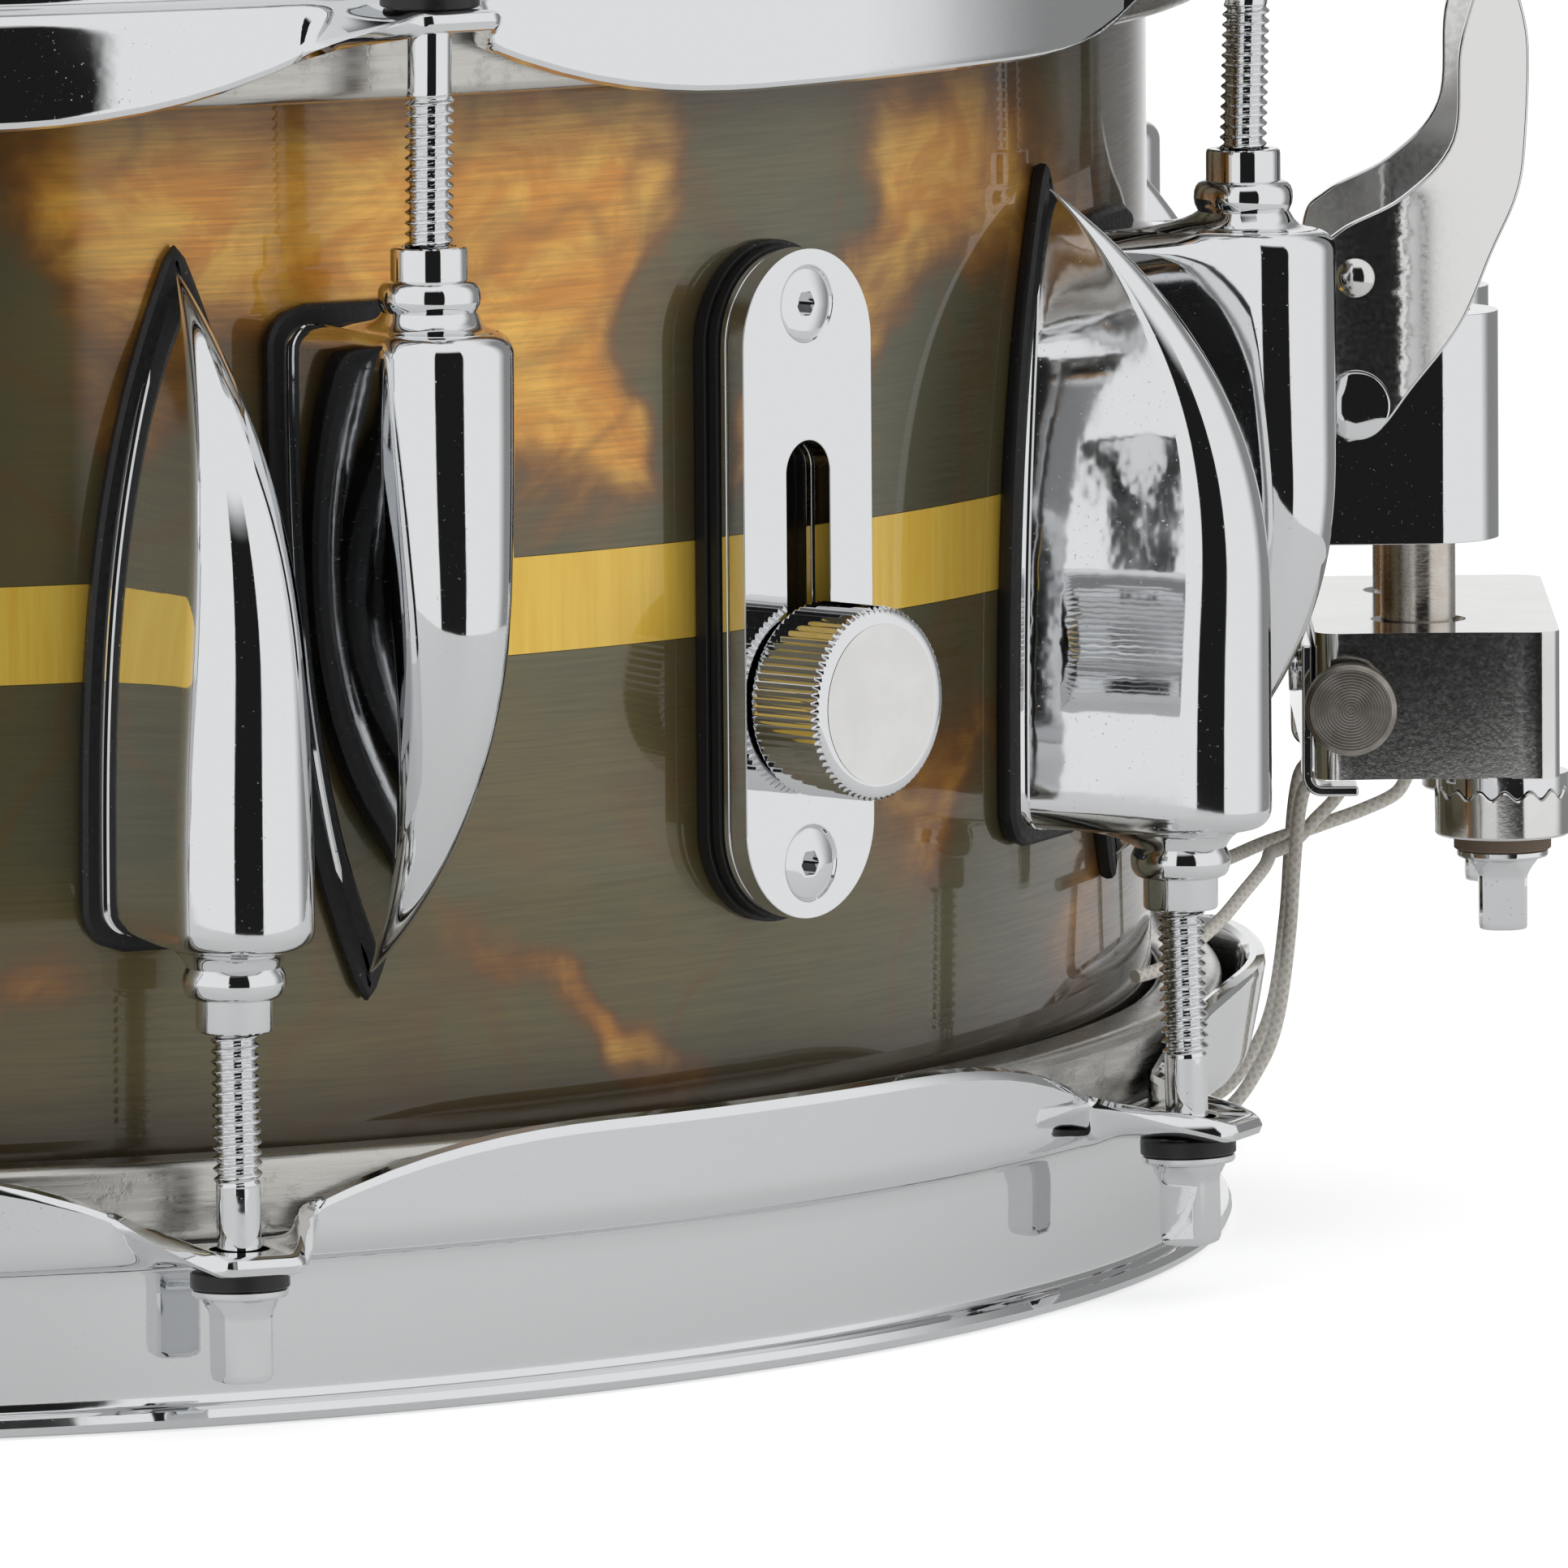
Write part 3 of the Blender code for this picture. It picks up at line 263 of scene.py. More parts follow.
class Finish:
    """One material and its node tree, with short calls that add and link nodes."""

    def __init__(self, name):
        self.material = bpy.data.materials.new(name)
        self.material.use_nodes = True
        self.tree = self.material.node_tree
        self.shader = self.tree.nodes["Principled BSDF"]

    def add(self, kind, sockets=None, **settings):
        node = self.tree.nodes.new("ShaderNode" + kind)
        for key, value in settings.items():
            setattr(node, key, value)
        for key, value in (sockets or {}).items():
            self.put(node, key, value)
        return node

    def put(self, node, key, value):
        socket = node.inputs[key]
        if isinstance(value, bpy.types.NodeSocket):
            self.tree.links.new(value, socket)
        else:
            socket.default_value = value

    def set(self, **values):
        for key, value in values.items():
            self.put(self.shader, key.replace("_", " "), value)

    def place(self, stretch=(1.0, 1.0, 1.0)):
        """Object coordinates, stretched along each axis."""
        coords = self.add("TexCoord").outputs["Object"]
        return self.add("Mapping", {"Vector": coords, "Scale": stretch}).outputs["Vector"]

    def noise(self, scale, detail=3.0, rough=0.55, vector=None, warp=0.0):
        sockets = {"Scale": scale, "Detail": detail, "Roughness": rough, "Distortion": warp}
        sockets["Vector"] = vector or self.place()
        return self.add("TexNoise", sockets).outputs["Fac"]

    def span(self, value, low, high, to_low=0.0, to_high=1.0):
        """Maps low..high smoothly to to_low..to_high."""
        sockets = {"Value": value, "From Min": low, "From Max": high, "To Min": to_low, "To Max": to_high}
        node = self.add("MapRange", sockets, interpolation_type="SMOOTHSTEP")
        return node.outputs["Result"]

    def math(self, operation, a, b=0.0):
        return self.add("Math", {0: a, 1: b}, operation=operation).outputs["Value"]

    def mix(self, share, a, b):
        node = self.add("Mix", data_type="RGBA")
        self.put(node, 0, share)
        self.put(node, 6, a)
        self.put(node, 7, b)
        return node.outputs[2]

    def bump(self, height, strength, distance=0.001):
        sockets = {"Height": height, "Strength": strength, "Distance": distance}
        return self.add("Bump", sockets).outputs["Normal"]


def rgb(r, g, b):
    return (r, g, b, 1.0)


def chrome_finish():
    """Polished chrome: nearly a mirror, with faint orange peel, dust specks and uneven polish."""
    f = Finish("chrome")
    peel = f.noise(240, 2)
    specks = f.span(f.noise(2600, 2), 0.70, 0.76)
    smear = f.noise(60, 4)
    f.set(Base_Color=rgb(0.80, 0.81, 0.82), Metallic=1.0)
    rough = f.math("ADD", f.span(smear, 0.35, 0.75, 0.025, 0.075), f.math("MULTIPLY", specks, 0.25))
    f.set(Roughness=rough, Normal=f.bump(f.math("ADD", peel, specks), 0.05, 0.0002))
    return f.material


def satin_chrome_finish():
    """Plated castings and pressings: a hazier mirror with a pitted, slightly streaked surface."""
    f = Finish("satin_chrome")
    pits = f.noise(1900, 3, 0.7)
    streaks = f.noise(420, 3, 0.6, f.place((1.0, 1.0, 0.35)))
    haze = f.noise(95, 4)
    tone = f.mix(f.span(haze, 0.35, 0.7), rgb(0.74, 0.735, 0.72), rgb(0.80, 0.795, 0.78))
    f.set(Base_Color=tone, Metallic=1.0, Roughness=f.span(pits, 0.35, 0.75, 0.09, 0.13))
    f.set(Normal=f.bump(f.math("ADD", pits, streaks), 0.025, 0.0002))
    return f.material


def lever_finish():
    """The lever's satin plate, its normal leaning outwards away from the pivot, with a ragged border."""
    f = Finish("lever_satin")
    pits = f.noise(1700, 3, 0.7)
    ragged = f.noise(420, 4, 0.7)
    across = f.add("SeparateXYZ", {"Vector": f.add("TexCoord").outputs["Object"]}).outputs["X"]
    across = f.math("ADD", across, f.math("MULTIPLY", f.math("SUBTRACT", ragged, 0.5), 0.0030))
    lean = f.add("CombineXYZ", {"X": f.span(across, 0.0035, 0.0070, 0.0, -0.22)}).outputs[0]
    spaces = {"vector_type": "VECTOR", "convert_from": "OBJECT", "convert_to": "WORLD"}
    turned = f.add("VectorTransform", {"Vector": lean}, **spaces)
    facing = f.add("NewGeometry").outputs["Normal"]
    normal = f.add("VectorMath", {0: facing, 1: turned.outputs[0]}, operation="ADD")
    unit = f.add("VectorMath", {0: normal.outputs[0]}, operation="NORMALIZE")
    f.set(Base_Color=rgb(0.80, 0.795, 0.78), Metallic=1.0, Roughness=f.span(pits, 0.3, 0.7, 0.10, 0.16))
    f.set(Normal=unit.outputs[0])
    return f.material


def steel_finish():
    """Turned nickel-plated steel, with warm tone and fine turning marks."""
    f = Finish("nickel_steel")
    marks = f.noise(1500, 3, 0.6, f.place((1.0, 1.0, 3.0)))
    blotch = f.noise(150, 3)
    tone = f.mix(f.span(blotch, 0.35, 0.7), rgb(0.58, 0.53, 0.47), rgb(0.70, 0.67, 0.63))
    f.set(Base_Color=tone, Metallic=1.0, Roughness=f.span(marks, 0.3, 0.7, 0.16, 0.30))
    f.set(Normal=f.bump(marks, 0.10, 0.0002))
    return f.material


def turned_face_finish():
    """The button's darker face, with rings left by the lathe round its axis."""
    f = Finish("turned_steel")
    coords = f.add("TexCoord").outputs["Object"]
    wave = f.add("TexWave", {"Vector": coords, "Scale": 900.0, "Distortion": 0.6, "Detail": 2.0})
    wave.wave_type = "RINGS"
    wave.rings_direction = "Z"
    rings = wave.outputs["Fac"]
    patch = f.noise(350, 3)
    tone = f.mix(f.span(patch, 0.3, 0.7), rgb(0.26, 0.235, 0.205), rgb(0.40, 0.37, 0.34))
    f.set(Base_Color=tone, Metallic=1.0, Roughness=f.span(rings, 0.0, 1.0, 0.26, 0.40))
    f.set(Normal=f.bump(rings, 0.12, 0.0001))
    return f.material


def aluminium_finish():
    """Rolled aluminium of the flesh hoops: satin, with drawn marks round the ring and small scuffs."""
    f = Finish("flesh_aluminium")
    drawn = f.noise(90, 4, 0.6, f.place((1.0, 1.0, 14.0)))
    scuff = f.span(f.noise(230, 5, 0.7), 0.52, 0.72)
    tone = f.mix(scuff, rgb(0.60, 0.585, 0.55), rgb(0.44, 0.43, 0.40))
    f.set(Base_Color=tone, Metallic=1.0, Roughness=f.span(drawn, 0.3, 0.7, 0.20, 0.34))
    f.set(Normal=f.bump(f.math("ADD", drawn, scuff), 0.12, 0.0003))
    return f.material


def band_finish():
    """The inlaid band: bright brass, brushed across, under the same lacquer as the shell."""
    f = Finish("bright_brass")
    across = f.noise(700, 3, 0.7, f.place((1.0, 1.0, 0.05)))
    wide = f.noise(60, 2, 0.5, f.place((1.0, 1.0, 0.2)))
    tone = f.mix(f.span(across, 0.3, 0.75), rgb(0.92, 0.58, 0.070), rgb(1.00, 0.72, 0.120))
    tone = f.mix(f.span(wide, 0.3, 0.7, 0.0, 0.35), tone, rgb(0.95, 0.60, 0.07))
    f.set(Base_Color=tone, Metallic=0.70, Roughness=0.46, Coat_Weight=1.0, Coat_Roughness=0.03)
    f.set(Normal=f.bump(across, 0.10, 0.0002))
    return f.material


# Flame patches on the shell: angle, height, width along the shell, height of the patch, tilt, and weight.
# A positive weight draws the patch amber, a negative one draws it slate.
FLAMES = (
    (16.0, 0.139, 0.014, 0.016, 20, 0.75),
    (24.0, 0.134, 0.020, 0.014, -10, 0.95),
    (31.5, 0.140, 0.016, 0.022, 0, 1.05),
    (36.5, 0.131, 0.020, 0.019, 10, 1.15),
    (36.0, 0.1275, 0.0048, 0.0075, 15, 0.55),
    (33.0, 0.116, 0.0065, 0.0110, -25, 0.75),
    (36.6, 0.1095, 0.0085, 0.0042, -38, 0.90),
    (46.0, 0.137, 0.0130, 0.0150, 10, -1.30),
    (41.2, 0.117, 0.0110, 0.0150, 5, -0.85),
    (51.7, 0.133, 0.0120, 0.0140, -15, 0.95),
    (58.0, 0.134, 0.0150, 0.0150, 0, 0.90),
    (49.0, 0.114, 0.0060, 0.0070, 30, 0.65),
    (56.0, 0.105, 0.0120, 0.0120, 0, -0.70),
    (68.0, 0.121, 0.0150, 0.0150, 0, 0.55),
    (17.5, 0.112, 0.0150, 0.0060, -40, 0.45),
    (13.0, 0.122, 0.0110, 0.0110, 0, -0.55),
    (31.5, 0.0480, 0.0080, 0.0028, -40, 0.42),
    (35.5, 0.0405, 0.0110, 0.0029, -48, 0.52),
    (38.5, 0.0345, 0.0080, 0.0026, -20, 0.55),
    (13.0, 0.0505, 0.0080, 0.0040, 15, 0.50),
    (55.5, 0.0625, 0.0130, 0.0060, 10, 0.70),
    (69.5, 0.0400, 0.0110, 0.0100, 0, 0.55),
    (92.0, 0.0900, 0.0300, 0.0300, 20, 0.80),
    (118.0, 0.0500, 0.0260, 0.0180, -25, 0.85),
    (150.0, 0.1150, 0.0300, 0.0250, 30, 0.90),
    (186.0, 0.0650, 0.0300, 0.0180, -20, 0.80),
    (214.0, 0.1250, 0.0240, 0.0220, 15, 0.95),
    (243.0, 0.0500, 0.0300, 0.0160, -30, 0.75),
    (284.0, 0.1150, 0.0300, 0.0260, 10, 0.95),
    (313.0, 0.0600, 0.0280, 0.0180, 25, 0.80),
    (338.0, 0.1250, 0.0300, 0.0240, -20, 0.90),
    (356.0, 0.0700, 0.0160, 0.0120, 30, 0.55),
)


def flame_field(f, arc, height, warp_arc, warp_height):
    """The sum of the flame patches at a point of the unrolled shell, its edges warped by noise."""
    total = 0.0
    for angle, middle, half_arc, half_height, tilt, weight in FLAMES:
        turn = math.radians(angle if angle <= 180 else angle - 360)
        along = f.math("ADD", f.math("SUBTRACT", arc, turn * SHELL_RADIUS), warp_arc)
        up = f.math("ADD", f.math("SUBTRACT", height, middle), warp_height)
        c = math.cos(math.radians(tilt))
        s = math.sin(math.radians(tilt))
        a = f.math("ADD", f.math("MULTIPLY", along, c / half_arc), f.math("MULTIPLY", up, s / half_arc))
        rise = f.math("MULTIPLY", up, c / half_height)
        b = f.math("ADD", rise, f.math("MULTIPLY", along, -s / half_height))
        square = f.math("ADD", f.math("MULTIPLY", a, a), f.math("MULTIPLY", b, b))
        patch = f.math("MULTIPLY", f.math("EXPONENT", f.math("MULTIPLY", square, -0.8)), weight)
        total = f.math("ADD", total, patch)
    return total


def patina_finish():
    """Torched brass under clear lacquer: amber flames on slate, brown between, with a fine turned grain, and
    painted shade darkening it next to both flesh hoops.
    """
    f = Finish("patina_brass")
    coords = f.add("TexCoord").outputs["Object"]
    axes = f.add("SeparateXYZ", {"Vector": coords})
    backward = f.math("MULTIPLY", axes.outputs["Y"], -1.0)
    turn = f.math("ARCTAN2", axes.outputs["X"], backward)
    arc = f.math("MULTIPLY", turn, SHELL_RADIUS)
    height = axes.outputs["Z"]
    warp = f.add("TexNoise", {"Vector": coords, "Scale": 40.0, "Detail": 2.5, "Roughness": 0.5})
    shift = f.add("SeparateColor", {"Color": warp.outputs["Color"]})
    warp_arc = f.math("MULTIPLY", f.math("SUBTRACT", shift.outputs["Red"], 0.5), 0.030)
    warp_height = f.math("MULTIPLY", f.math("SUBTRACT", shift.outputs["Green"], 0.5), 0.024)
    field = flame_field(f, arc, height, warp_arc, warp_height)
    wisps = f.noise(70, 4, 0.55, f.place((1.0, 1.0, 1.3)), 1.5)
    wide = f.noise(26, 3, 0.5)
    grain = f.noise(260, 4, 0.65, f.place((0.30, 0.30, 9.0)))
    heat = f.math("ADD", field, f.math("MULTIPLY", f.math("SUBTRACT", wisps, 0.5), 0.42))
    heat = f.math("ADD", heat, f.math("MULTIPLY", f.math("SUBTRACT", wide, 0.5), 0.60))
    slate = f.mix(f.span(wide, 0.35, 0.65), rgb(0.165, 0.132, 0.048), rgb(0.125, 0.120, 0.062))
    brown = f.mix(f.span(wisps, 0.3, 0.7), rgb(0.200, 0.082, 0.018), rgb(0.290, 0.125, 0.026))
    amber = f.mix(f.span(wisps, 0.35, 0.7), rgb(0.80, 0.32, 0.030), rgb(1.00, 0.56, 0.090))
    tone = f.mix(f.span(heat, 0.06, 0.48), slate, brown)
    tone = f.mix(f.span(heat, 0.30, 0.95), tone, amber)
    ring = f.math("ABSOLUTE", f.math("SUBTRACT", f.noise(34, 2, 0.4), 0.5))
    tone = f.mix(f.span(ring, 0.0, 0.035, 0.32, 0.0), tone, rgb(0.20, 0.085, 0.02))
    tone = f.mix(f.span(grain, 0.25, 0.75, 0.0, 0.30), tone, rgb(0.055, 0.048, 0.035))
    # Painted shade: the shell darkens to near black-brown towards both flesh hoops, where shade falls
    # between shell and hoop.
    low_painted_shade = f.span(height, 0.030, 0.042, 1.0, 0.0)
    high_painted_shade = f.span(height, 0.135, 0.147, 0.0, 1.0)
    edge = f.math("MULTIPLY", f.math("MAXIMUM", low_painted_shade, high_painted_shade), 0.75)
    tone = f.mix(edge, tone, rgb(0.040, 0.022, 0.010))
    f.set(Base_Color=tone, Metallic=0.62, Roughness=f.span(grain, 0.3, 0.7, 0.30, 0.44))
    f.set(Coat_Weight=1.0, Coat_Roughness=f.span(f.noise(70, 3), 0.3, 0.7, 0.015, 0.05), Coat_IOR=1.55)
    f.set(Normal=f.bump(grain, 0.10, 0.0002))
    return f.material


def raw_brass_finish():
    """The shell's inside: plain brass, turned and a little dulled."""
    f = Finish("raw_brass")
    turned = f.noise(500, 3, 0.6, f.place((0.3, 0.3, 8.0)))
    tarnish = f.noise(35, 5)
    tone = f.mix(f.span(tarnish, 0.35, 0.7), rgb(0.62, 0.44, 0.17), rgb(0.42, 0.28, 0.10))
    f.set(Base_Color=tone, Metallic=1.0, Roughness=f.span(turned, 0.3, 0.7, 0.24, 0.42))
    f.set(Normal=f.bump(turned, 0.10, 0.0002))
    return f.material


def rubber_finish():
    """Moulded black rubber, with dust caught on it."""
    f = Finish("black_rubber")
    skin = f.noise(1500, 3)
    dust = f.span(f.noise(1900, 2, 0.5, None, 0.4), 0.72, 0.78)
    tone = f.mix(dust, rgb(0.012, 0.012, 0.013), rgb(0.22, 0.20, 0.18))
    f.set(Base_Color=tone, Roughness=f.span(skin, 0.3, 0.7, 0.34, 0.52))
    f.set(Specular_IOR_Level=0.4, Normal=f.bump(skin, 0.15, 0.0001))
    return f.material


def nylon_finish():
    """Black nylon washers."""
    f = Finish("black_nylon")
    skin = f.noise(1100, 2)
    f.set(Base_Color=f.mix(skin, rgb(0.008, 0.008, 0.009), rgb(0.020, 0.019, 0.019)))
    f.set(Roughness=f.span(skin, 0.3, 0.7, 0.30, 0.46), Normal=f.bump(skin, 0.1, 0.0001))
    return f.material


def fibre_finish():
    """Brown fibre washers under the fine adjusters."""
    f = Finish("brown_fibre")
    fibres = f.noise(1300, 4, 0.7)
    f.set(Base_Color=f.mix(fibres, rgb(0.13, 0.09, 0.06), rgb(0.24, 0.18, 0.13)))
    f.set(Roughness=f.span(fibres, 0.3, 0.7, 0.50, 0.75), Normal=f.bump(fibres, 0.2, 0.0001))
    return f.material


def braid_finish():
    """Cream braided cord: two crossing sets of fine yarns, laid out on the tube's own coordinates, with
    painted shade in the grooves between the yarns.
    """
    f = Finish("cream_braid")
    coords = f.add("SeparateXYZ", {"Vector": f.add("UVMap").outputs["UV"]})
    along = f.math("MULTIPLY", coords.outputs["X"], 5200.0)
    around = f.math("MULTIPLY", coords.outputs["Y"], math.tau * 4)
    left = f.math("SINE", f.math("ADD", along, around))
    right = f.math("SINE", f.math("SUBTRACT", along, around))
    yarn = f.math("MAXIMUM", left, right)
    soil = f.noise(260, 4)
    # Painted shade: the cream darkens in the grooves between the yarns, following their height.
    tone = f.mix(f.span(yarn, -0.2, 0.9), rgb(0.78, 0.74, 0.65), rgb(0.96, 0.93, 0.86))
    tone = f.mix(f.span(soil, 0.4, 0.75, 0.0, 0.25), tone, rgb(0.70, 0.65, 0.55))
    f.set(Base_Color=tone, Roughness=0.85, Sheen_Weight=0.25, Normal=f.bump(yarn, 0.35, 0.00010))
    return f.material


def coated_film_finish():
    """The batter head: white sprayed coating with a fine tooth."""
    f = Finish("coated_film")
    tooth = f.noise(1300, 5, 0.7)
    cloud = f.noise(28, 4)
    f.set(Base_Color=f.mix(f.span(cloud, 0.3, 0.7), rgb(0.80, 0.79, 0.76), rgb(0.87, 0.86, 0.84)))
    f.set(Roughness=f.span(tooth, 0.3, 0.7, 0.55, 0.78), Normal=f.bump(tooth, 0.30, 0.0002))
    return f.material


def clear_film_finish():
    """The snare head: thin hazy film that shows what lies behind it."""
    f = Finish("clear_film")
    haze = f.noise(45, 4)
    f.set(Base_Color=rgb(0.86, 0.87, 0.86), Transmission_Weight=0.55, IOR=1.45)
    f.set(Roughness=f.span(haze, 0.3, 0.7, 0.22, 0.38), Normal=f.bump(f.noise(300, 3), 0.04, 0.0003))
    return f.material


def felt_finish():
    """Grey wool felt."""
    f = Finish("grey_felt")
    wool = f.noise(700, 6, 0.75, None, 1.5)
    f.set(Base_Color=f.mix(f.span(wool, 0.3, 0.7), rgb(0.09, 0.088, 0.085), rgb(0.25, 0.245, 0.24)))
    f.set(Roughness=0.95, Sheen_Weight=0.5, Normal=f.bump(wool, 0.8, 0.0008))
    return f.material


def floor_finish():
    """Pale paper: lit to white where the camera sees it, and a soft grey in the chrome's reflections."""
    f = Finish("pale_floor")
    seen = f.add("LightPath").outputs["Is Camera Ray"]
    f.set(Base_Color=f.mix(seen, rgb(0.52, 0.52, 0.52), rgb(0.93, 0.93, 0.94)))
    f.set(Roughness=0.6, Specular_IOR_Level=0.2)
    f.set(Emission_Color=rgb(1.0, 1.0, 1.0), Emission_Strength=f.span(seen, 0.0, 1.0, 0.27, 0.55))
    return f.material


# ---------------------------------------------------------------- mesh tools

def store(bm, name):
    """Closes a bmesh: merges its seam, turns its faces outwards and stores it."""
    bmesh.ops.remove_doubles(bm, verts=bm.verts, dist=1e-6)
    bmesh.ops.dissolve_degenerate(bm, edges=bm.edges, dist=1e-7)
    bmesh.ops.recalc_face_normals(bm, faces=bm.faces)
    mesh = bpy.data.meshes.new(name)
    bm.to_mesh(mesh)
    bm.free()
    return mesh


def lathe(name, profile, steps=256, closed=True):
    """Turns an (r, z) profile round Z. An open profile starts and ends on the axis."""
    bm = bmesh.new()
    points = [bm.verts.new((r, 0.0, z)) for r, z in profile]
    pairs = list(zip(points, points[1:]))
    if closed:
        pairs.append((points[-1], points[0]))
    edges = [bm.edges.new(pair) for pair in pairs]
    bmesh.ops.spin(
        bm, geom=points + edges, cent=(0, 0, 0), axis=(0, 0, 1), angle=math.tau, steps=steps, use_merge=True
    )
    return store(bm, name)


def prism(name, outline, low, high, axis="Z"):
    """Extrudes a flat outline from low to high along an axis."""
    place = {
        "X": lambda a, b, c: (c, a, b),
        "Y": lambda a, b, c: (a, c, b),
        "Z": lambda a, b, c: (a, b, c),
    }[axis]
    bm = bmesh.new()
    face = bm.faces.new([bm.verts.new(place(a, b, low)) for a, b in outline])
    raised = bmesh.ops.extrude_face_region(bm, geom=[face])["geom"]
    shift = place(0.0, 0.0, high - low)
    bmesh.ops.translate(bm, verts=[v for v in raised if isinstance(v, bmesh.types.BMVert)], vec=shift)
    return store(bm, name)


def loft(name, sections, around=False):
    """Skins rings of points of one length. It closes both ends, or joins the last ring to the first."""
    bm = bmesh.new()
    rings = [[bm.verts.new(point) for point in section] for section in sections]
    following = rings[1:] + rings[:1] if around else rings[1:]
    for lower, upper in zip(rings, following):
        count = len(lower)
        for i in range(count):
            j = (i + 1) % count
            bm.faces.new((lower[i], lower[j], upper[j], upper[i]))
    if not around:
        bm.faces.new(rings[0])
        bm.faces.new(rings[-1])
    return store(bm, name)


def joined(name, meshes):
    """Several meshes as one mesh of separate solids."""
    bm = bmesh.new()
    for mesh in meshes:
        bm.from_mesh(mesh)
        bpy.data.meshes.remove(mesh)
    return store(bm, name)


def moved(mesh, matrix):
    mesh.transform(matrix)
    return mesh


def circle(a, b, radius, steps=48):
    turns = [math.tau * k / steps for k in range(steps)]
    return [(a + radius * math.cos(t), b + radius * math.sin(t)) for t in turns]


def bow(y):
    """How far the shell's surface falls back beside a station, at a distance y round it."""
    return SHELL_RADIUS - math.sqrt(SHELL_RADIUS**2 - y * y)


def strip(line, thickness):
    """The closed outline of a bent strip, from its middle line."""
    outer, inner = [], []
    for i, (x, z) in enumerate(line):
        ahead = Vector(line[min(i + 1, len(line) - 1)]) - Vector(line[max(i - 1, 0)])
        side = Vector((ahead.y, -ahead.x)).normalized() * thickness / 2
        outer.append((x + side.x, z + side.y))
        inner.append((x - side.x, z - side.y))
    return outer + inner[::-1]


def rounded_rectangle(a_low, a_high, b_low, b_high, radius, arc_steps=10):
    """A rectangle's outline with round corners."""
    outline = []
    corners = (
        (a_high - radius, b_low + radius, -90),
        (a_high - radius, b_high - radius, 0),
        (a_low + radius, b_high - radius, 90),
        (a_low + radius, b_low + radius, 180),
    )
    for a, b, start in corners:
        for k in range(arc_steps + 1):
            turn = math.radians(start + 90 * k / arc_steps)
            outline.append((a + radius * math.cos(turn), b + radius * math.sin(turn)))
    return outline


def stadium(half_width, half_height, middle, arc_steps=20):
    radius = half_width - 1e-5
    low = middle - half_height
    return rounded_rectangle(-half_width, half_width, low, middle + half_height, radius, arc_steps)


def smooth_curve(points, steps=12):
    """A Catmull-Rom curve through points of any dimension."""
    padded = [points[0], *points, points[-1]]
    fine = []
    for a, b, c, d in zip(padded, padded[1:], padded[2:], padded[3:]):
        for k in range(steps):
            t = k / steps
            fine.append(tuple(catmull(*four, t) for four in zip(a, b, c, d)))
    fine.append(tuple(points[-1]))
    return fine


def catmull(a, b, c, d, t):
    return 0.5 * (2 * b + (c - a) * t + (2 * a - 5 * b + 4 * c - d) * t**2 + (3 * b - a - 3 * c + d) * t**3)


def lengths(points):
    """How far each point is along the line of points."""
    reach = [0.0]
    for p, q in zip(points, points[1:]):
        reach.append(reach[-1] + math.dist(p, q))
    return reach


def resample(points, wanted):
    """Points of a polyline at the wanted distances along it."""
    reach = lengths(points)
    found = []
    at = 1
    for distance in wanted:
        while at < len(points) - 1 and reach[at] < distance:
            at += 1
        share = (distance - reach[at - 1]) / max(reach[at] - reach[at - 1], 1e-12)
        found.append(tuple(p + (q - p) * share for p, q in zip(points[at - 1], points[at])))
    return found


def tube(name, route, radius, sides=12):
    """A round tube along a route, with coordinates along it and round it for its weave."""
    path = [Vector(point) for point in route]
    reach = lengths(route)
    bm = bmesh.new()
    weave = bm.loops.layers.uv.new("weave")
    normal = (path[1] - path[0]).orthogonal().normalized()
    rings = []
    for i, point in enumerate(path):
        ahead = path[min(i + 1, len(path) - 1)] - path[max(i - 1, 0)]
        ahead.normalize()
        normal = (normal - ahead * normal.dot(ahead)).normalized()
        across = ahead.cross(normal)
        turns = [math.tau * k / sides for k in range(sides)]
        spokes = [normal * math.cos(t) + across * math.sin(t) for t in turns]
        rings.append([bm.verts.new(point + spoke * radius) for spoke in spokes])
    for i in range(len(rings) - 1):
        for k in range(sides):
            j = (k + 1) % sides
            face = bm.faces.new((rings[i][k], rings[i][j], rings[i + 1][j], rings[i + 1][k]))
            corners = ((i, k), (i, k + 1), (i + 1, k + 1), (i + 1, k))
            for loop, (row, turn) in zip(face.loops, corners):
                loop[weave].uv = (reach[row], turn / sides)
    bm.faces.new(rings[0])
    bm.faces.new(rings[-1])
    bmesh.ops.recalc_face_normals(bm, faces=bm.faces)
    mesh = bpy.data.meshes.new(name)
    bm.to_mesh(mesh)
    bm.free()
    return mesh


def carved(mesh, cutters):
    """A mesh with other meshes cut out of it."""
    whole = bpy.data.objects.new("carving", mesh)
    tools = []
    bpy.context.scene.collection.objects.link(whole)
    for cutter in cutters:
        tool = bpy.data.objects.new("cutter", cutter)
        bpy.context.scene.collection.objects.link(tool)
        modifier = whole.modifiers.new("cut", "BOOLEAN")
        modifier.operation = "DIFFERENCE"
        modifier.object = tool
        tools.append(tool)
    bpy.context.view_layer.update()
    depsgraph = bpy.context.evaluated_depsgraph_get()
    result = bpy.data.meshes.new_from_object(whole.evaluated_get(depsgraph))
    result.name = mesh.name
    for obj in [whole, *tools]:
        bpy.data.objects.remove(obj)
    return result


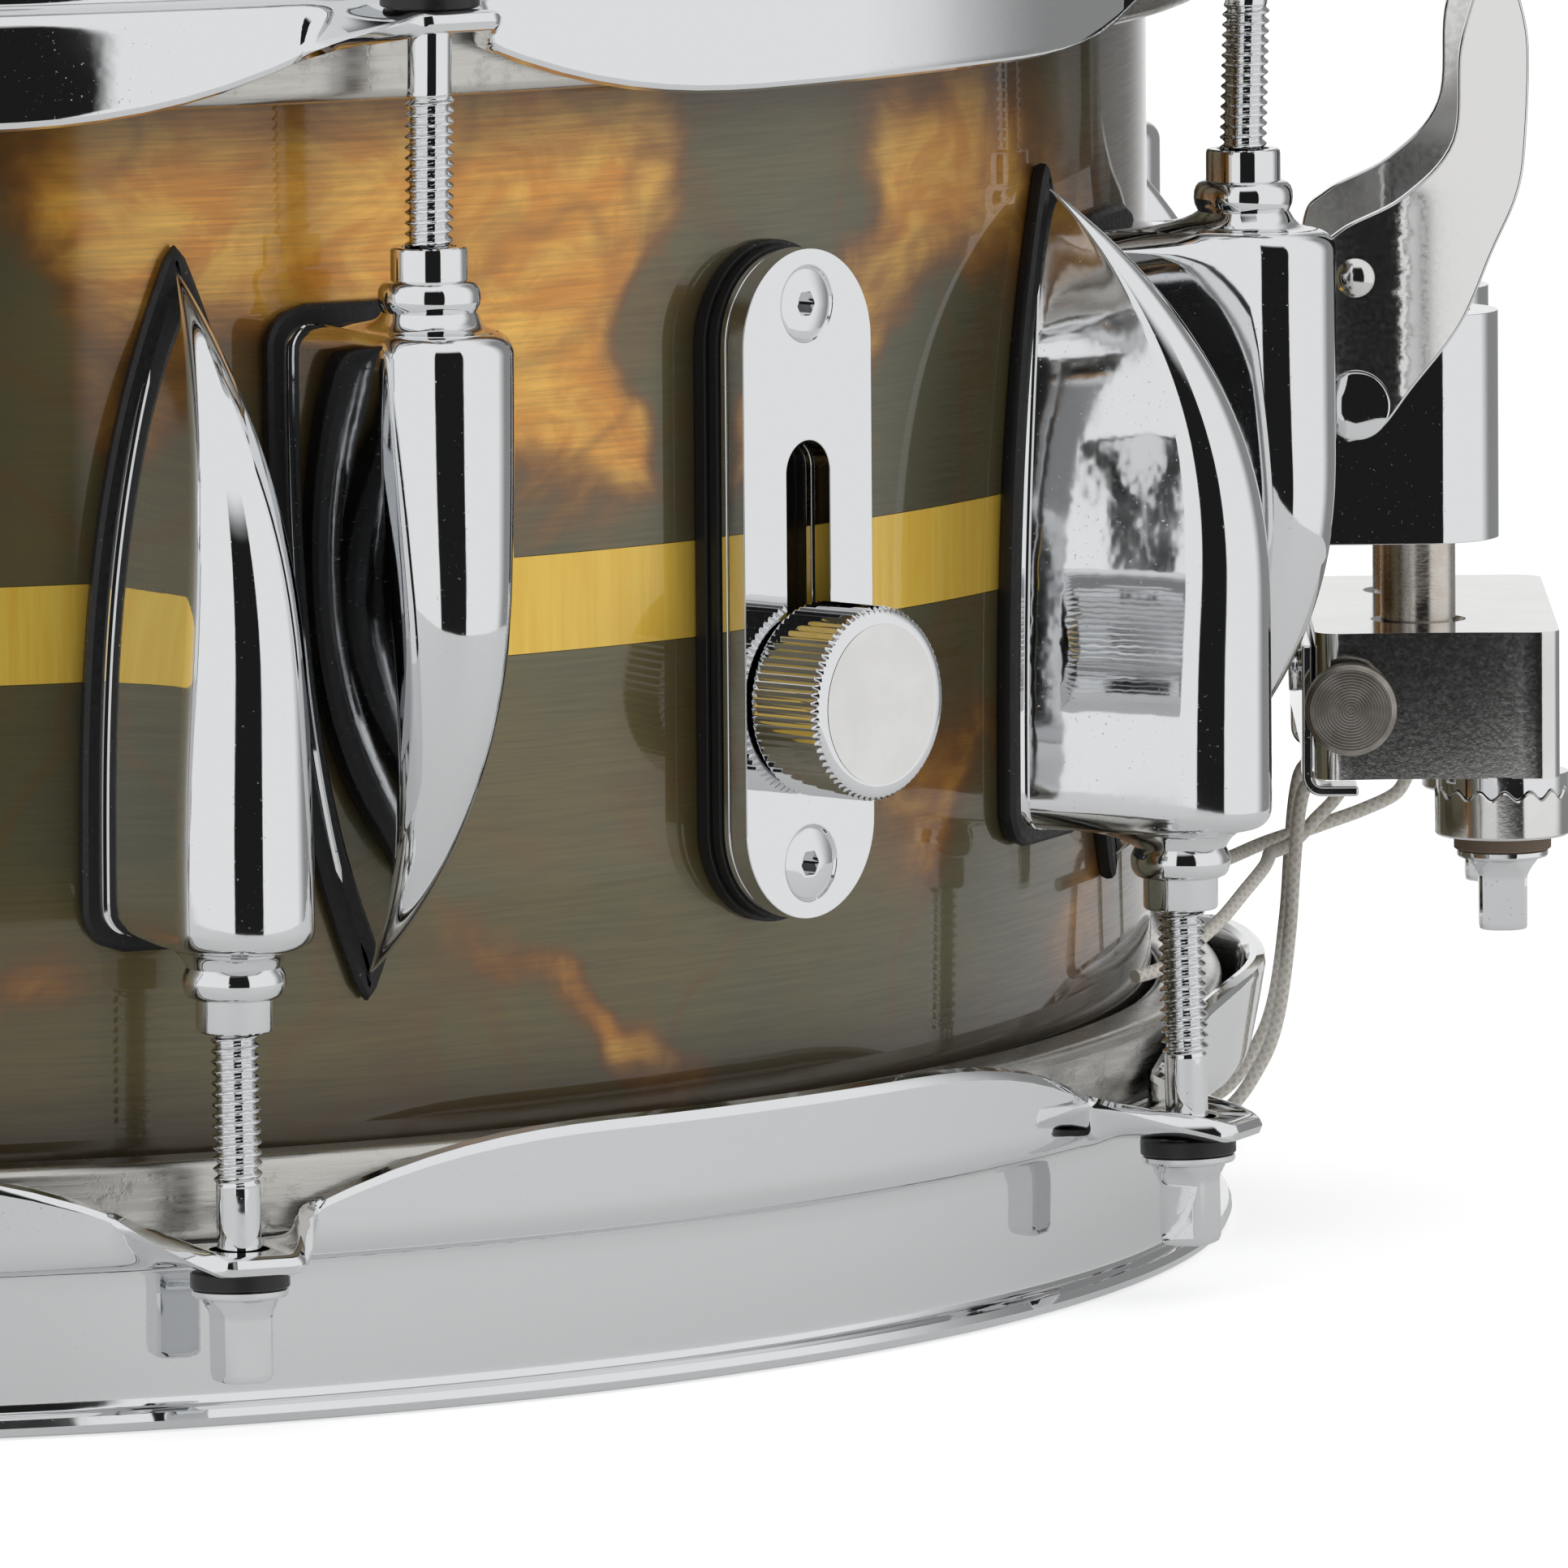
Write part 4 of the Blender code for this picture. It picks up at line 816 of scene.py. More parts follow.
def piece(name, mesh, material, body, frame_matrix, stands_for=(), sharp=32, bevel=0.0):
    """Places a finished mesh, gives it its material, and makes it ride on its body if it is given one."""
    obj = bpy.data.objects.new(name, mesh)
    bpy.context.scene.collection.objects.link(obj)
    if not mesh.materials:
        mesh.materials.append(material)
        mesh.shade_smooth()
        mesh.set_sharp_from_angle(angle=math.radians(sharp))
    obj.matrix_world = frame_matrix
    if bevel:
        edge = obj.modifiers.new("edge", "BEVEL")
        edge.width = bevel
        edge.segments = 3
        edge.limit_method = "ANGLE"
        edge.angle_limit = math.radians(38)
        edge.harden_normals = True
    if body:
        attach(obj, body)
    if stands_for:
        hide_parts(*stands_for)
    return obj


# ---------------------------------------------------------------- cords

NEAR_TAIL = (
    (0.2003, -0.0058, 0.0510),
    (0.1990, -0.0058, 0.0492),
    (0.1969, -0.0058, 0.0471),
    (0.1951, -0.0058, 0.0451),
    (0.1934, -0.0064, 0.0440),
    (0.1916, -0.0090, 0.0436),
    (0.1912, -0.0160, 0.0439),
    (0.1904, -0.0250, 0.0438),
    (0.1882, -0.0310, 0.0420),
    (0.1844, -0.0370, 0.0385),
    (0.1785, -0.0455, 0.0349),
    (0.1747, -0.0500, 0.0341),
)
FAR_TAIL = (
    (0.2083, 0.0030, 0.0515),
    (0.2068, 0.0020, 0.0493),
    (0.2029, 0.0006, 0.0476),
    (0.1989, -0.0012, 0.0464),
    (0.1959, -0.0022, 0.0455),
    (0.1938, -0.0028, 0.0450),
    (0.1908, -0.0044, 0.0442),
    (0.1875, -0.0090, 0.0434),
    (0.1846, -0.0170, 0.0432),
    (0.1826, -0.0280, 0.0434),
    (0.1810, -0.0400, 0.0436),
    (0.1785, -0.0490, 0.0438),
)
STRAND = (
    (0.1663, 0.0090, 0.0106),
    (0.1780, 0.0090, 0.0104),
    (0.1858, 0.0090, 0.0126),
    (0.1902, 0.0090, 0.0182),
    (0.1924, 0.0090, 0.0241),
    (0.1938, 0.0090, 0.0339),
    (0.1944, 0.0090, 0.0420),
    (0.1951, 0.0090, 0.0489),
    (0.1962, 0.0090, 0.0520),
    (0.1992, 0.0090, 0.0535),
)
BUTT_LOOP_HALF = (
    (-0.1663, -0.0090, 0.0106),
    (-0.1780, -0.0090, 0.0104),
    (-0.1860, -0.0090, 0.0126),
    (-0.1908, -0.0090, 0.0180),
    (-0.1925, -0.0090, 0.0250),
    (-0.1927, -0.0090, 0.0340),
    (-0.1927, -0.0088, 0.0440),
    (-0.1927, -0.0064, 0.0506),
)


def cord_mesh(name, route):
    fine = smooth_curve(route, 16)
    reach = lengths(fine)[-1]
    count = round(reach / (0.8 * CORD_RADIUS))
    return tube(name, resample(fine, [reach * k / count for k in range(count + 1)]), CORD_RADIUS)


def make_cords(braid):
    """The strands from the wires to both ends, and the two cut tails under the block."""
    for name, side in (("snare_cord_near", -1), ("snare_cord_far", 1)):
        route = [(x, side * y, z) for x, y, z in STRAND]
        mesh = cord_mesh(name, route)
        strand = piece(name + "_braid", mesh, braid, None, THROW, [name])
        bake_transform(strand)
    for name, route in (("cord_tail_near", NEAR_TAIL), ("cord_tail_far", FAR_TAIL)):
        mesh = cord_mesh(name, route)
        tail = piece(name + "_braid", mesh, braid, "carriage", THROW, [name])
    other = [(x, -y, z) for x, y, z in reversed(BUTT_LOOP_HALF)]
    loop = [*BUTT_LOOP_HALF, (-0.1927, 0.0, 0.0532), *other]
    mesh = cord_mesh("butt_cord", loop)
    piece("butt_cord_braid", mesh, braid, "drum", THROW, ["butt_cord"])


# ---------------------------------------------------------------- shell and heads

def make_shell(patina, raw, band):
    """The shell as a turned tube, raw brass inside, with a groove that the band lies in."""
    inner = SHELL_RADIUS - SHELL_WALL
    groove = SHELL_RADIUS - BAND_DEPTH
    line = 0.00004
    low = HOOP_OVERHANG + FILM + GAP
    high = DRUM_HEIGHT - low
    profile = [(SHELL_RADIUS, high - EDGE_FLANGE), (SHELL_RADIUS, BAND_HIGH + line)]
    profile += [(groove, BAND_HIGH + line), (groove, BAND_LOW - line)]
    profile += [(SHELL_RADIUS, BAND_LOW - line), (SHELL_RADIUS, low + EDGE_FLANGE)]
    turns = [math.radians(15 * k) for k in range(1, 7)]
    profile += [
        (SHELL_RADIUS - EDGE_FLANGE * (1 - math.cos(t)), low + EDGE_FLANGE * (1 - math.sin(t)))
        for t in turns
    ]
    profile += [(inner - EDGE_FLANGE, low), (inner, low + EDGE_FLANGE), (inner, high - EDGE_FLANGE)]
    profile += [(inner - EDGE_FLANGE, high)]
    profile += [
        (SHELL_RADIUS - EDGE_FLANGE * (1 - math.cos(t)), high - EDGE_FLANGE * (1 - math.sin(t)))
        for t in reversed(turns)
    ]
    slot = stadium(SLOT_HALF_WIDTH + 0.0006, SLOT_HALF_HEIGHT + 0.0006, MID_HEIGHT)
    cutter = prism("slot", slot, inner - 0.008, SHELL_RADIUS + 0.005, axis="X")
    cutter.transform(LIFT.inverted() @ MUFFLER)
    shell = carved(lathe("shell", profile, 360), [cutter])
    shell.materials.clear()
    shell.materials.append(patina)
    shell.materials.append(raw)
    for face in shell.polygons:
        out = math.hypot(face.center.x, face.center.y)
        face.material_index = 0 if out > groove - 0.0004 else 1
    shell.shade_smooth()
    shell.set_sharp_from_angle(angle=math.radians(32))
    piece("brass_shell", shell, patina, "drum", LIFT, ["shell"])
    ring = [
        (SHELL_RADIUS, BAND_HIGH - line),
        (SHELL_RADIUS - BAND_DEPTH, BAND_HIGH - line),
        (SHELL_RADIUS - BAND_DEPTH, BAND_LOW + line),
        (SHELL_RADIUS, BAND_LOW + line),
    ]
    piece("bright_band", lathe("band", ring, 360), band, "drum", LIFT, ["inlay_band"])


def make_heads(coated, clear, aluminium):
    """Each head as a film over the bearing edge, with its rolled flesh hoop."""
    edge = SHELL_RADIUS - EDGE_FLANGE
    face = HOOP_OVERHANG
    turns = [math.radians(15 * k) for k in range(7)]
    knee = EDGE_FLANGE + FILM
    inner_knee = [(edge + EDGE_FLANGE * math.sin(t), face + knee - EDGE_FLANGE * math.cos(t)) for t in turns]
    outer_knee = [(edge + knee * math.sin(t), face + knee * (1 - math.cos(t))) for t in turns]
    film = [(0.0, face + FILM), (0.05, face + FILM), (0.11, face + FILM), *inner_knee]
    film += [(FILM_COLLAR_RADIUS, FLESH_TOP - 0.0010), (FILM_COLLAR_RADIUS + FILM, FLESH_TOP - 0.0010)]
    film += [*reversed(outer_knee), (0.11, face), (0.05, face), (0.0, face)]
    bend = 0.0016
    left = FILM_COLLAR_RADIUS + FILM
    right = FLESH_OUTER_RADIUS
    ring = rounded_rectangle(left, right, FLESH_FOOT, FLESH_TOP, bend, 6)
    for side, material, slot in (("batter", coated, "coated_film"), ("snare", clear, "clear_film")):
        turn = turned_over() if side == "batter" else Matrix.Identity(4)
        head = side + "_head"
        film_mesh = lathe(side + "_film", film, 256, closed=False)
        piece(side + "_film", film_mesh, material, "drum", LIFT @ turn, [head])
        flesh_mesh = lathe(side + "_flesh_hoop", ring, 256)
        piece(side + "_flesh_hoop", flesh_mesh, aluminium, "drum", LIFT @ turn, [head])


# ---------------------------------------------------------------- hoops

def away_from(angle, places):
    """The smallest distance in degrees from an angle to any of the places."""
    return min(abs((angle - place + 180) % 360 - 180) for place in places)


def edge_height(angle, ears):
    """The height of the skirt's edge: flat at each ear, and rising to a plateau between them."""
    rise = (away_from(angle, ears) - EAR_FLAT_DEG) / (SKIRT_REACH_DEG - EAR_FLAT_DEG)
    rise = min(max(rise, 0.0), 1.0)
    return EAR_TOP + SKIRT_RISE * (1 - (1 - rise) ** SKIRT_POWER)


def ear_share(angle, ears):
    """1 at an ear's middle, falling to 0 on the plain skirt beside it."""
    off = math.radians(away_from(angle, ears)) * ROD_CIRCLE_RADIUS
    fall = min(max((off - EAR_NARROW) / (EAR_WIDE - EAR_NARROW), 0.0), 1.0)
    return 1 - fall * fall * (3 - 2 * fall)


def smoothed(points, times, reach):
    """A polyline whose corners are rounded by averaging each point with its neighbours."""
    for _ in range(times):
        new = []
        for i in range(len(points)):
            r = min(reach, i, len(points) - 1 - i)
            part = points[i - r : i + r + 1]
            new.append((sum(p[0] for p in part) / len(part), sum(p[1] for p in part) / len(part)))
        points = new
    return points


def hoop_line(angle, ears, gates):
    """The middle line of the hoop's sheet at one angle, from the lip up to the edge of skirt or ear."""
    half = SHEET / 2
    share = ear_share(angle, ears)
    bulge = GATE_BULGE * max(0.0, 1 - (away_from(angle, gates) / GATE_BULGE_DEG) ** 2) if gates else 0.0
    top = edge_height(angle, ears)
    end = top - half * share - 0.9 * half * (1 - share)
    wall = WALL_RADIUS - half
    skirt = SKIRT_RADIUS - half
    step = STEP_HEIGHT + half
    tip = skirt + (EAR_RADIUS - 0.9 * half - skirt) * share + bulge
    lean = EAR_LEAN * (1 - share)
    corners = [(LIP_RADIUS - 0.9 * half, half), (wall, half), (wall, step), (skirt, step)]
    corners += [(skirt + bulge * 0.7, end - lean), (tip, end)]
    total = lengths(corners)[-1]
    count = round(total / 0.00025)
    return smoothed(resample(corners, [total * k / count for k in range(count + 1)]), 3, 5)


def hoop_rows(total):
    """Distances along the hoop's line: close together at the bends, further apart on the wall."""
    lip = [k * 0.00045 for k in range(12)]
    wall = [0.0080, 0.0120, 0.0160]
    step = [0.0178 + k * 0.0005 for k in range(16)]
    start = step[-1]
    free = 16
    return lip + wall + step + [start + (total - start) * k / free for k in range(1, free + 1)]


def hoop_mesh(name, ears, gates):
    """The hoop as a bent sheet with rounded edges, its skirt waved between eight turned-out ears."""
    offsets = [0.25 * k for k in range(-20, 21)]
    offsets += [sign * (5.0 + 1.45 * k) for k in range(1, 12) for sign in (-1, 1)]
    angles = sorted({round((ear + off) % 360, 4) for ear in ears for off in offsets})
    lines = []
    for angle in angles:
        line = hoop_line(angle, ears, gates)
        rows = resample(line, hoop_rows(lengths(line)[-1]))
        turn = math.radians(angle)
        lines.append([Vector((r * math.sin(turn), -r * math.cos(turn), z)) for r, z in rows])
    half = SHEET / 2
    count = len(lines)
    last = len(lines[0]) - 1
    sections = []
    for i, line in enumerate(lines):
        before = lines[i - 1]
        after = lines[(i + 1) % count]
        outer, inner = [], []
        for j, point in enumerate(line):
            along = line[min(j + 1, last)] - line[max(j - 1, 0)]
            normal = along.cross(after[j] - before[j]).normalized()
            outer.append(point - normal * half)
            inner.append(point + normal * half)
        skirt_edge = edge_round(line[-1], line[-2], outer[-1], inner[-1])
        lip_edge = edge_round(line[0], line[1], inner[0], outer[0])
        sections.append(outer + skirt_edge + inner[::-1] + lip_edge)
    return loft(name, sections, around=True)


def edge_round(end, before, start, finish):
    """Three points that round a sheet's edge from its face at start over to the one at finish."""
    out = (end - before).normalized() * (SHEET / 2) * 0.9
    side = (start - finish) / 2
    turns = [math.radians(a) for a in (50, 0, -50)]
    return [end + out * math.cos(t) + side * math.sin(t) for t in turns]


def make_hoops(chrome):
    """Both triple-flanged hoops, with the ears' holes and the snare side's two gates cut through."""
    splay = math.tan(math.radians(ROD_SPLAY))
    centre = ROD_CIRCLE_RADIUS + (NUT_END - EAR_TOP) * splay
    for side in ("snare", "batter"):
        gated = side == "snare"
        drawn = lug_angles(side) if gated else [180 - angle for angle in lug_angles(side)]
        gates = (STRAINER_ANGLE, STRAINER_ANGLE + 180) if gated else ()
        cutters = []
        for angle in drawn:
            rim = circle(centre, 0.0, EAR_HOLE_RADIUS, 32)
            hole = prism("hole", rim, EAR_TOP - 0.006, EAR_TOP + 0.004)
            cutters.append(moved(hole, LIFT.inverted() @ station(angle)))
        for angle in gates:
            half = WALL_RADIUS * math.sin(math.radians(GATE_HALF_DEG))
            outline = rounded_rectangle(-half, half, GATE_BOTTOM, GATE_TOP, 0.0030, 6)
            gate = prism("gate", outline, WALL_RADIUS - 0.008, WALL_RADIUS + 0.008, axis="X")
            cutters.append(moved(gate, LIFT.inverted() @ station(angle)))
        mesh = carved(hoop_mesh(side + "_hoop", drawn, gates), cutters)
        flip = Matrix.Identity(4) if gated else turned_over()
        stands_for = [side + "_hoop"]
        piece(side + "_rim", mesh, chrome, "drum", LIFT @ flip, stands_for, sharp=40)


# ---------------------------------------------------------------- lugs

def lug_section(height):
    """A lug's outline at one height: foot on the shell, nearly flat flanks and a round nose."""
    span = max((height - LUG_SHELF) / (LUG_TIP - LUG_SHELF), 0.0)
    climb = max(height - LUG_STRAIGHT_TOP, 0.0) / (LUG_TIP - LUG_STRAIGHT_TOP)
    face = LUG_BACK + LUG_FOOT * (1 - span**6)
    nose = LUG_NOSE - 0.985 * (LUG_NOSE - face) * climb**LUG_CURVE_POWER
    foot = LUG_FOOT_HALF * (1 - span**3) - corner_drop(height, LUG_CORNER)
    half = LUG_HALF * (1 - span**LUG_TAPER_POWER)
    depth = nose - face
    start = nose - min(half, 0.8 * depth)
    inset = corner_drop(height, LUG_ROUND)
    side = [(LUG_BACK, foot), (face - 0.0005, foot)]
    side += [(face - 0.0001, foot - 0.0002), (face, foot - 0.0006)]
    steps = 12
    for k in range(1, steps + 1):
        share = k / steps
        sunk = LUG_DISH * (half / LUG_HALF) * math.sin(math.pi * share)
        across = foot - 0.0006 + (half - foot + 0.0006) * share - sunk
        side.append((face + (start - face) * share, across))
    for k in range(1, 17):
        turn = math.radians(90 * k / 16)
        side.append((start + (nose - start) * math.sin(turn), half * math.cos(turn)))
    trimmed = []
    for r, y in side:
        share = min(max(2.2 * (r - face) / depth - 0.9, 0.0), 1.0)
        drawn_in = inset * share * max(0.0, (r - start) / (nose - start))
        trimmed.append((r - drawn_in, y * (1 - inset * share / half)))
    other = [(r, -y) for r, y in reversed(trimmed[:-1])]
    back = [(LUG_BACK, foot * share) for share in (-0.66, -0.33, 0.0, 0.33, 0.66)]
    return [(r, y, height) for r, y in trimmed + other + back]


def corner_drop(height, radius):
    """How far a corner of that radius at the shelf draws a side in at one height."""
    drop = min(max((LUG_SHELF + radius - height) / radius, 0.0), 0.999)
    return radius * (1 - math.sqrt(1 - drop * drop))


def lug_mesh():
    """A half-moon lug from its tip down to its shelf, then the swelling neck and the nut's collar."""
    heights = [LUG_TIP - 0.0004]
    heights += [LUG_TIP - 0.0012 - 0.0010 * k for k in range(26)]
    heights += [LUG_TIP - 0.0276 - 0.0013 * k for k in range(34)]
    heights += [LUG_SHELF + LUG_ROUND * (1 - math.sin(math.radians(9 * k))) for k in range(10)]
    sections = [lug_section(height) for height in heights]
    shelf = sections[-1]
    nose = max(range(len(shelf)), key=lambda index: shelf[index][0])

    def neck(share, height, radius):
        ring = []
        for k, (r, y, _) in enumerate(shelf):
            turn = math.tau * (nose - k) / len(shelf)
            goal = (ROD_CIRCLE_RADIUS + radius * math.cos(turn), radius * math.sin(turn))
            ring.append((r + (goal[0] - r) * share, y + (goal[1] - y) * share, height))
        return ring

    blend = (
        (0.010, 0.05525),
        (0.030, 0.05490),
        (0.080, 0.05475),
        (0.220, 0.05468),
        (0.420, 0.05455),
        (0.600, 0.05430),
        (0.760, 0.05390),
        (0.880, 0.05345),
        (0.960, 0.05300),
    )
    sections += [neck(share, height, 0.0054) for share, height in blend]
    swell = (
        (0.00530, 0.05262),
        (0.00545, 0.05230),
        (0.00568, 0.05180),
        (0.00578, 0.05110),
        (0.00572, 0.05030),
        (0.00552, 0.04975),
        (0.00520, 0.04935),
        (0.00470, 0.04912),
        (0.00435, 0.04906),
        (0.00433, 0.04890),
        (0.00433, 0.04590),
        (0.00425, 0.04555),
        (0.00405, 0.04540),
        (0.00305, 0.04540),
        (0.00300, 0.04640),
    )
    sections += [neck(1.0, height, radius) for radius, height in swell]
    return loft("lug", sections)


def gasket_line(count=90):
    """Half of the gasket's outline on the shell: (half-width, height) from its tip to its lower corner."""
    tip = LUG_TIP + 0.0014
    low = LUG_SHELF - 0.0012
    line = []
    for k in range(count + 1):
        height = tip - (tip - low) * k / count
        span = max((height - LUG_SHELF) / (tip - LUG_SHELF), 0.0)
        drop = min(max((low + GASKET_CORNER - height) / GASKET_CORNER, 0.0), 1.0)
        round_off = GASKET_CORNER * (1 - math.sqrt(1 - drop * drop))
        line.append(((LUG_FOOT_HALF + 0.0009) * (1 - span**3) - round_off, height))
    return line


def gasket_mesh():
    """The rubber seat under a lug: a soft bead that shows all round the lug's foot, curved to the shell."""
    right = gasket_line()
    outline = right + [(-y, z) for y, z in reversed(right[1:])]
    flat = [Vector((y, z)) for y, z in outline]
    layers = ((0.0000, 0.0), (0.0006, 0.0003), (0.0009, 0.0010))
    layers += ((0.0008, 0.0017), (0.0003, 0.0021), (-0.0006, 0.0022))
    sections = []
    for grow, out in layers:
        ring = []
        for i, point in enumerate(flat):
            ahead = flat[(i + 1) % len(flat)] - flat[i - 1]
            side = Vector((ahead.y, -ahead.x)).normalized() * -1
            place = point + side * grow
            reach = SHELL_RADIUS - bow(place.x) * (1 - out / 0.003) - 0.0002 + out
            ring.append((reach, place.x, place.y))
        sections.append(ring)
    return loft("lug_gasket", sections)


def make_lugs(chrome, rubber):
    """Sixteen lugs and their gaskets, each kind sharing one mesh."""
    body = lug_mesh()
    seat = gasket_mesh()
    for side in ("snare", "batter"):
        for number, angle in enumerate(lug_angles(side), start=1):
            place = side_frame(side, angle)
            label = f"{side}_lug_{number}"
            piece(label + "_casting", body, chrome, "drum", place, [label], sharp=28)
            piece(label + "_gasket", seat, rubber, "drum", place)


# ---------------------------------------------------------------- tension rods

def round_ring(radius, height):
    turns = [math.tau * k / ROD_SIDES for k in range(ROD_SIDES)]
    return [(radius * math.cos(t), radius * math.sin(t), height) for t in turns]


def thread_ring(height):
    """One level of a screw thread: its ridge climbs a pitch each turn, and runs out at the lower end."""
    ring = []
    fade = min(1.0, max(0.0, (height - THREAD_END) / 0.0010))
    for k in range(ROD_SIDES):
        turn = math.tau * k / ROD_SIDES
        phase = (height / THREAD_PITCH - k / ROD_SIDES) % 1.0
        tooth = math.sin(math.pi * phase) ** 2
        radius = THREAD_RADIUS - THREAD_DEPTH * (1 - tooth) * fade
        radius -= (THREAD_RADIUS - SHANK_RADIUS) * (1 - fade)
        ring.append((radius * math.cos(turn), radius * math.sin(turn), height))
    return ring


def key_ring(round_radius, flat, height):
    """A level of the key head: a round bar cut by four flats."""
    ring = []
    for k in range(ROD_SIDES):
        turn = math.tau * (k + 0.5) / ROD_SIDES
        square = flat / max(abs(math.cos(turn)), abs(math.sin(turn)))
        radius = min(round_radius, square)
        ring.append((radius * math.cos(turn), radius * math.sin(turn), height))
    return ring


def key_head(under, end):
    """The flange, cone and square of a drum key head, from under its washer down to its end."""
    sections = [
        round_ring(0.00515, under),
        round_ring(0.00540, under - 0.00020),
        round_ring(0.00540, under - 0.00070),
        round_ring(0.00520, under - 0.00095),
        round_ring(0.00450, under - 0.00110),
    ]
    for k in range(12):
        share = k / 11
        drop = under - 0.0012 - 0.0024 * share
        bar = 0.00430 - 0.00055 * min(1.0, share * 1.3)
        flat = KEY_HALF + 0.00140 * (1 - share) ** 2
        sections.append(key_ring(bar, flat, drop))
    for bar, flat, height in (
        (0.00372, KEY_HALF, end + 0.0010),
        (0.00362, KEY_HALF, end + 0.0006),
        (0.00335, KEY_HALF - 0.00006, end + 0.0003),
        (0.00290, KEY_HALF - 0.00030, end + 0.0001),
        (0.00230, KEY_HALF - 0.00080, end),
    ):
        sections.append(key_ring(bar, flat, height))
    return sections


def rod_mesh():
    """A tension rod about its own axis: rolled thread, plain shank, flange and square key head."""
    rows = 12 * round((THREAD_TOP - THREAD_END) / THREAD_PITCH)
    levels = [THREAD_TOP + (THREAD_END - THREAD_TOP) * k / rows for k in range(rows + 1)]
    sections = [round_ring(SHANK_RADIUS, 0.0200), round_ring(SHANK_RADIUS, THREAD_TOP + 0.0001)]
    sections += [thread_ring(height) for height in levels]
    sections.append(round_ring(SHANK_RADIUS, THREAD_END - 0.0001))
    sections.append(round_ring(SHANK_RADIUS, FLANGE_TOP))
    sections += key_head(FLANGE_TOP, FLANGE_TOP - KEY_LENGTH)
    return loft("tension_rod", sections)


def washer_mesh(name, inner, outer, low, high, chamfer=0.00015):
    profile = [
        (inner, low),
        (outer - chamfer, low),
        (outer, low + chamfer),
        (outer, high - chamfer),
        (outer - chamfer, high),
        (inner, high),
    ]
    return lathe(name, profile, 48)


def make_rods(chrome, nylon):
    """Sixteen tension rods, each with its washer, on bodies of their own."""
    rod = rod_mesh()
    washer = washer_mesh("nylon_washer", 0.0028, 0.00555, FLANGE_TOP + 0.00003, FLANGE_TOP + 0.0018)
    for side in ("snare", "batter"):
        for number, angle in enumerate(lug_angles(side), start=1):
            place = side_frame(side, angle) @ rod_axis()
            label = f"{side}_rod_{number}"
            piece(label + "_screw", rod, chrome, label, place, [label], sharp=30)
            piece(label + "_washer", washer, nylon, label, place)


# ---------------------------------------------------------------- muffler

def socket_screw(name, radius, thickness, across_flats, sunk=0.0012):
    """A screw head in its own frame: face at z = 0, looking up, with a hexagon socket."""
    hexagon = across_flats / math.sqrt(3)
    rim = [math.tau * (k + 0.5) / 48 for k in range(48)]

    def ring(r, z, share=0.0):
        points = []
        for t in rim:
            flat = across_flats / 2 / math.cos((t + math.pi / 6) % (math.pi / 3) - math.pi / 6)
            reach = r + (min(flat, hexagon) - r) * share
            points.append((reach * math.cos(t), reach * math.sin(t), z))
        return points

    edge = 0.00025
    sections = [
        ring(radius * 0.96, -thickness),
        ring(radius, -thickness + edge),
        ring(radius, -edge),
        ring(radius - edge * 0.4, -edge * 0.3),
        ring(radius - edge, 0.0),
        ring(0.0, 0.0, 1.0),
        ring(0.0, -sunk, 1.0),
    ]
    return loft(name, sections)


def muffler_layer(name, grow, back, front, slotted=True):
    """One layer of the muffler's plate: a stadium-shaped prism with the slot cut through it."""
    outline = stadium(PLATE_HALF_WIDTH + grow, PLATE_HALF_HEIGHT + grow, MID_HEIGHT)
    mesh = prism(name, outline, back, front, axis="X")
    if not slotted:
        return mesh
    slot = stadium(SLOT_HALF_WIDTH, SLOT_HALF_HEIGHT, MID_HEIGHT)
    return carved(mesh, [prism("slot", slot, back - 0.002, front + 0.002, axis="X")])


def knob_mesh():
    """The knurled knob: straight teeth round its rim, fading at both chamfers, and a stem inwards."""
    teeth, fine = 72, 6
    count = teeth * fine

    def ring(radius, z, depth=0.0):
        points = []
        for k in range(count):
            turn = math.tau * k / count
            tooth = 0.5 - 0.5 * math.cos(turn * teeth)
            reach = radius - depth * tooth
            points.append((reach * math.cos(turn), reach * math.sin(turn), z))
        return points

    top = KNOB_LENGTH
    sections = [
        ring(KNOB_STEM, -0.0172),
        ring(KNOB_STEM, 0.0002),
        ring(KNOB_RADIUS - 0.0012, 0.0),
        ring(KNOB_RADIUS - 0.0006, 0.0002),
        ring(KNOB_RADIUS, 0.0009, KNOB_TOOTH),
        ring(KNOB_RADIUS, 0.0010, KNOB_TOOTH),
        ring(KNOB_RADIUS, top - 0.0010, KNOB_TOOTH),
        ring(KNOB_RADIUS, top - 0.0009, KNOB_TOOTH),
        ring(KNOB_RADIUS - 0.00045, top - 0.0003),
        ring(KNOB_RADIUS - 0.0008, top - 0.0001),
        ring(KNOB_RADIUS - 0.0013, top),
        ring(0.0090, top + 0.00001),
    ]
    return loft("muffler_knob", sections)


def arm_mesh():
    """The bent strip inside the shell: an upright leg and a shelf under the pad, with rounded bends."""
    thickness = ARM_FRONT - ARM_BACK
    line = [(ARM_BACK + thickness / 2, 0.0665), (ARM_BACK + thickness / 2, 0.1275)]
    for k in range(1, 9):
        turn = math.radians(90 * k / 9)
        back = 0.0027 * (1 - math.cos(turn))
        line.append((ARM_BACK + thickness / 2 - back, 0.1275 + 0.0027 * math.sin(turn)))
    line += [(ARM_BACK + thickness / 2 - 0.0027, 0.1302), (ARM_FRONT - 0.0300, 0.1302)]
    mesh = prism("muffler_arm", strip(line, thickness), -0.0080, 0.0080, axis="Y")
    rim = circle(0.0, KNOB_HEIGHT, KNOB_STEM + 0.0003)
    hole = prism("hole", rim, ARM_BACK - 0.001, ARM_FRONT + 0.001, axis="X")
    return carved(mesh, [hole])


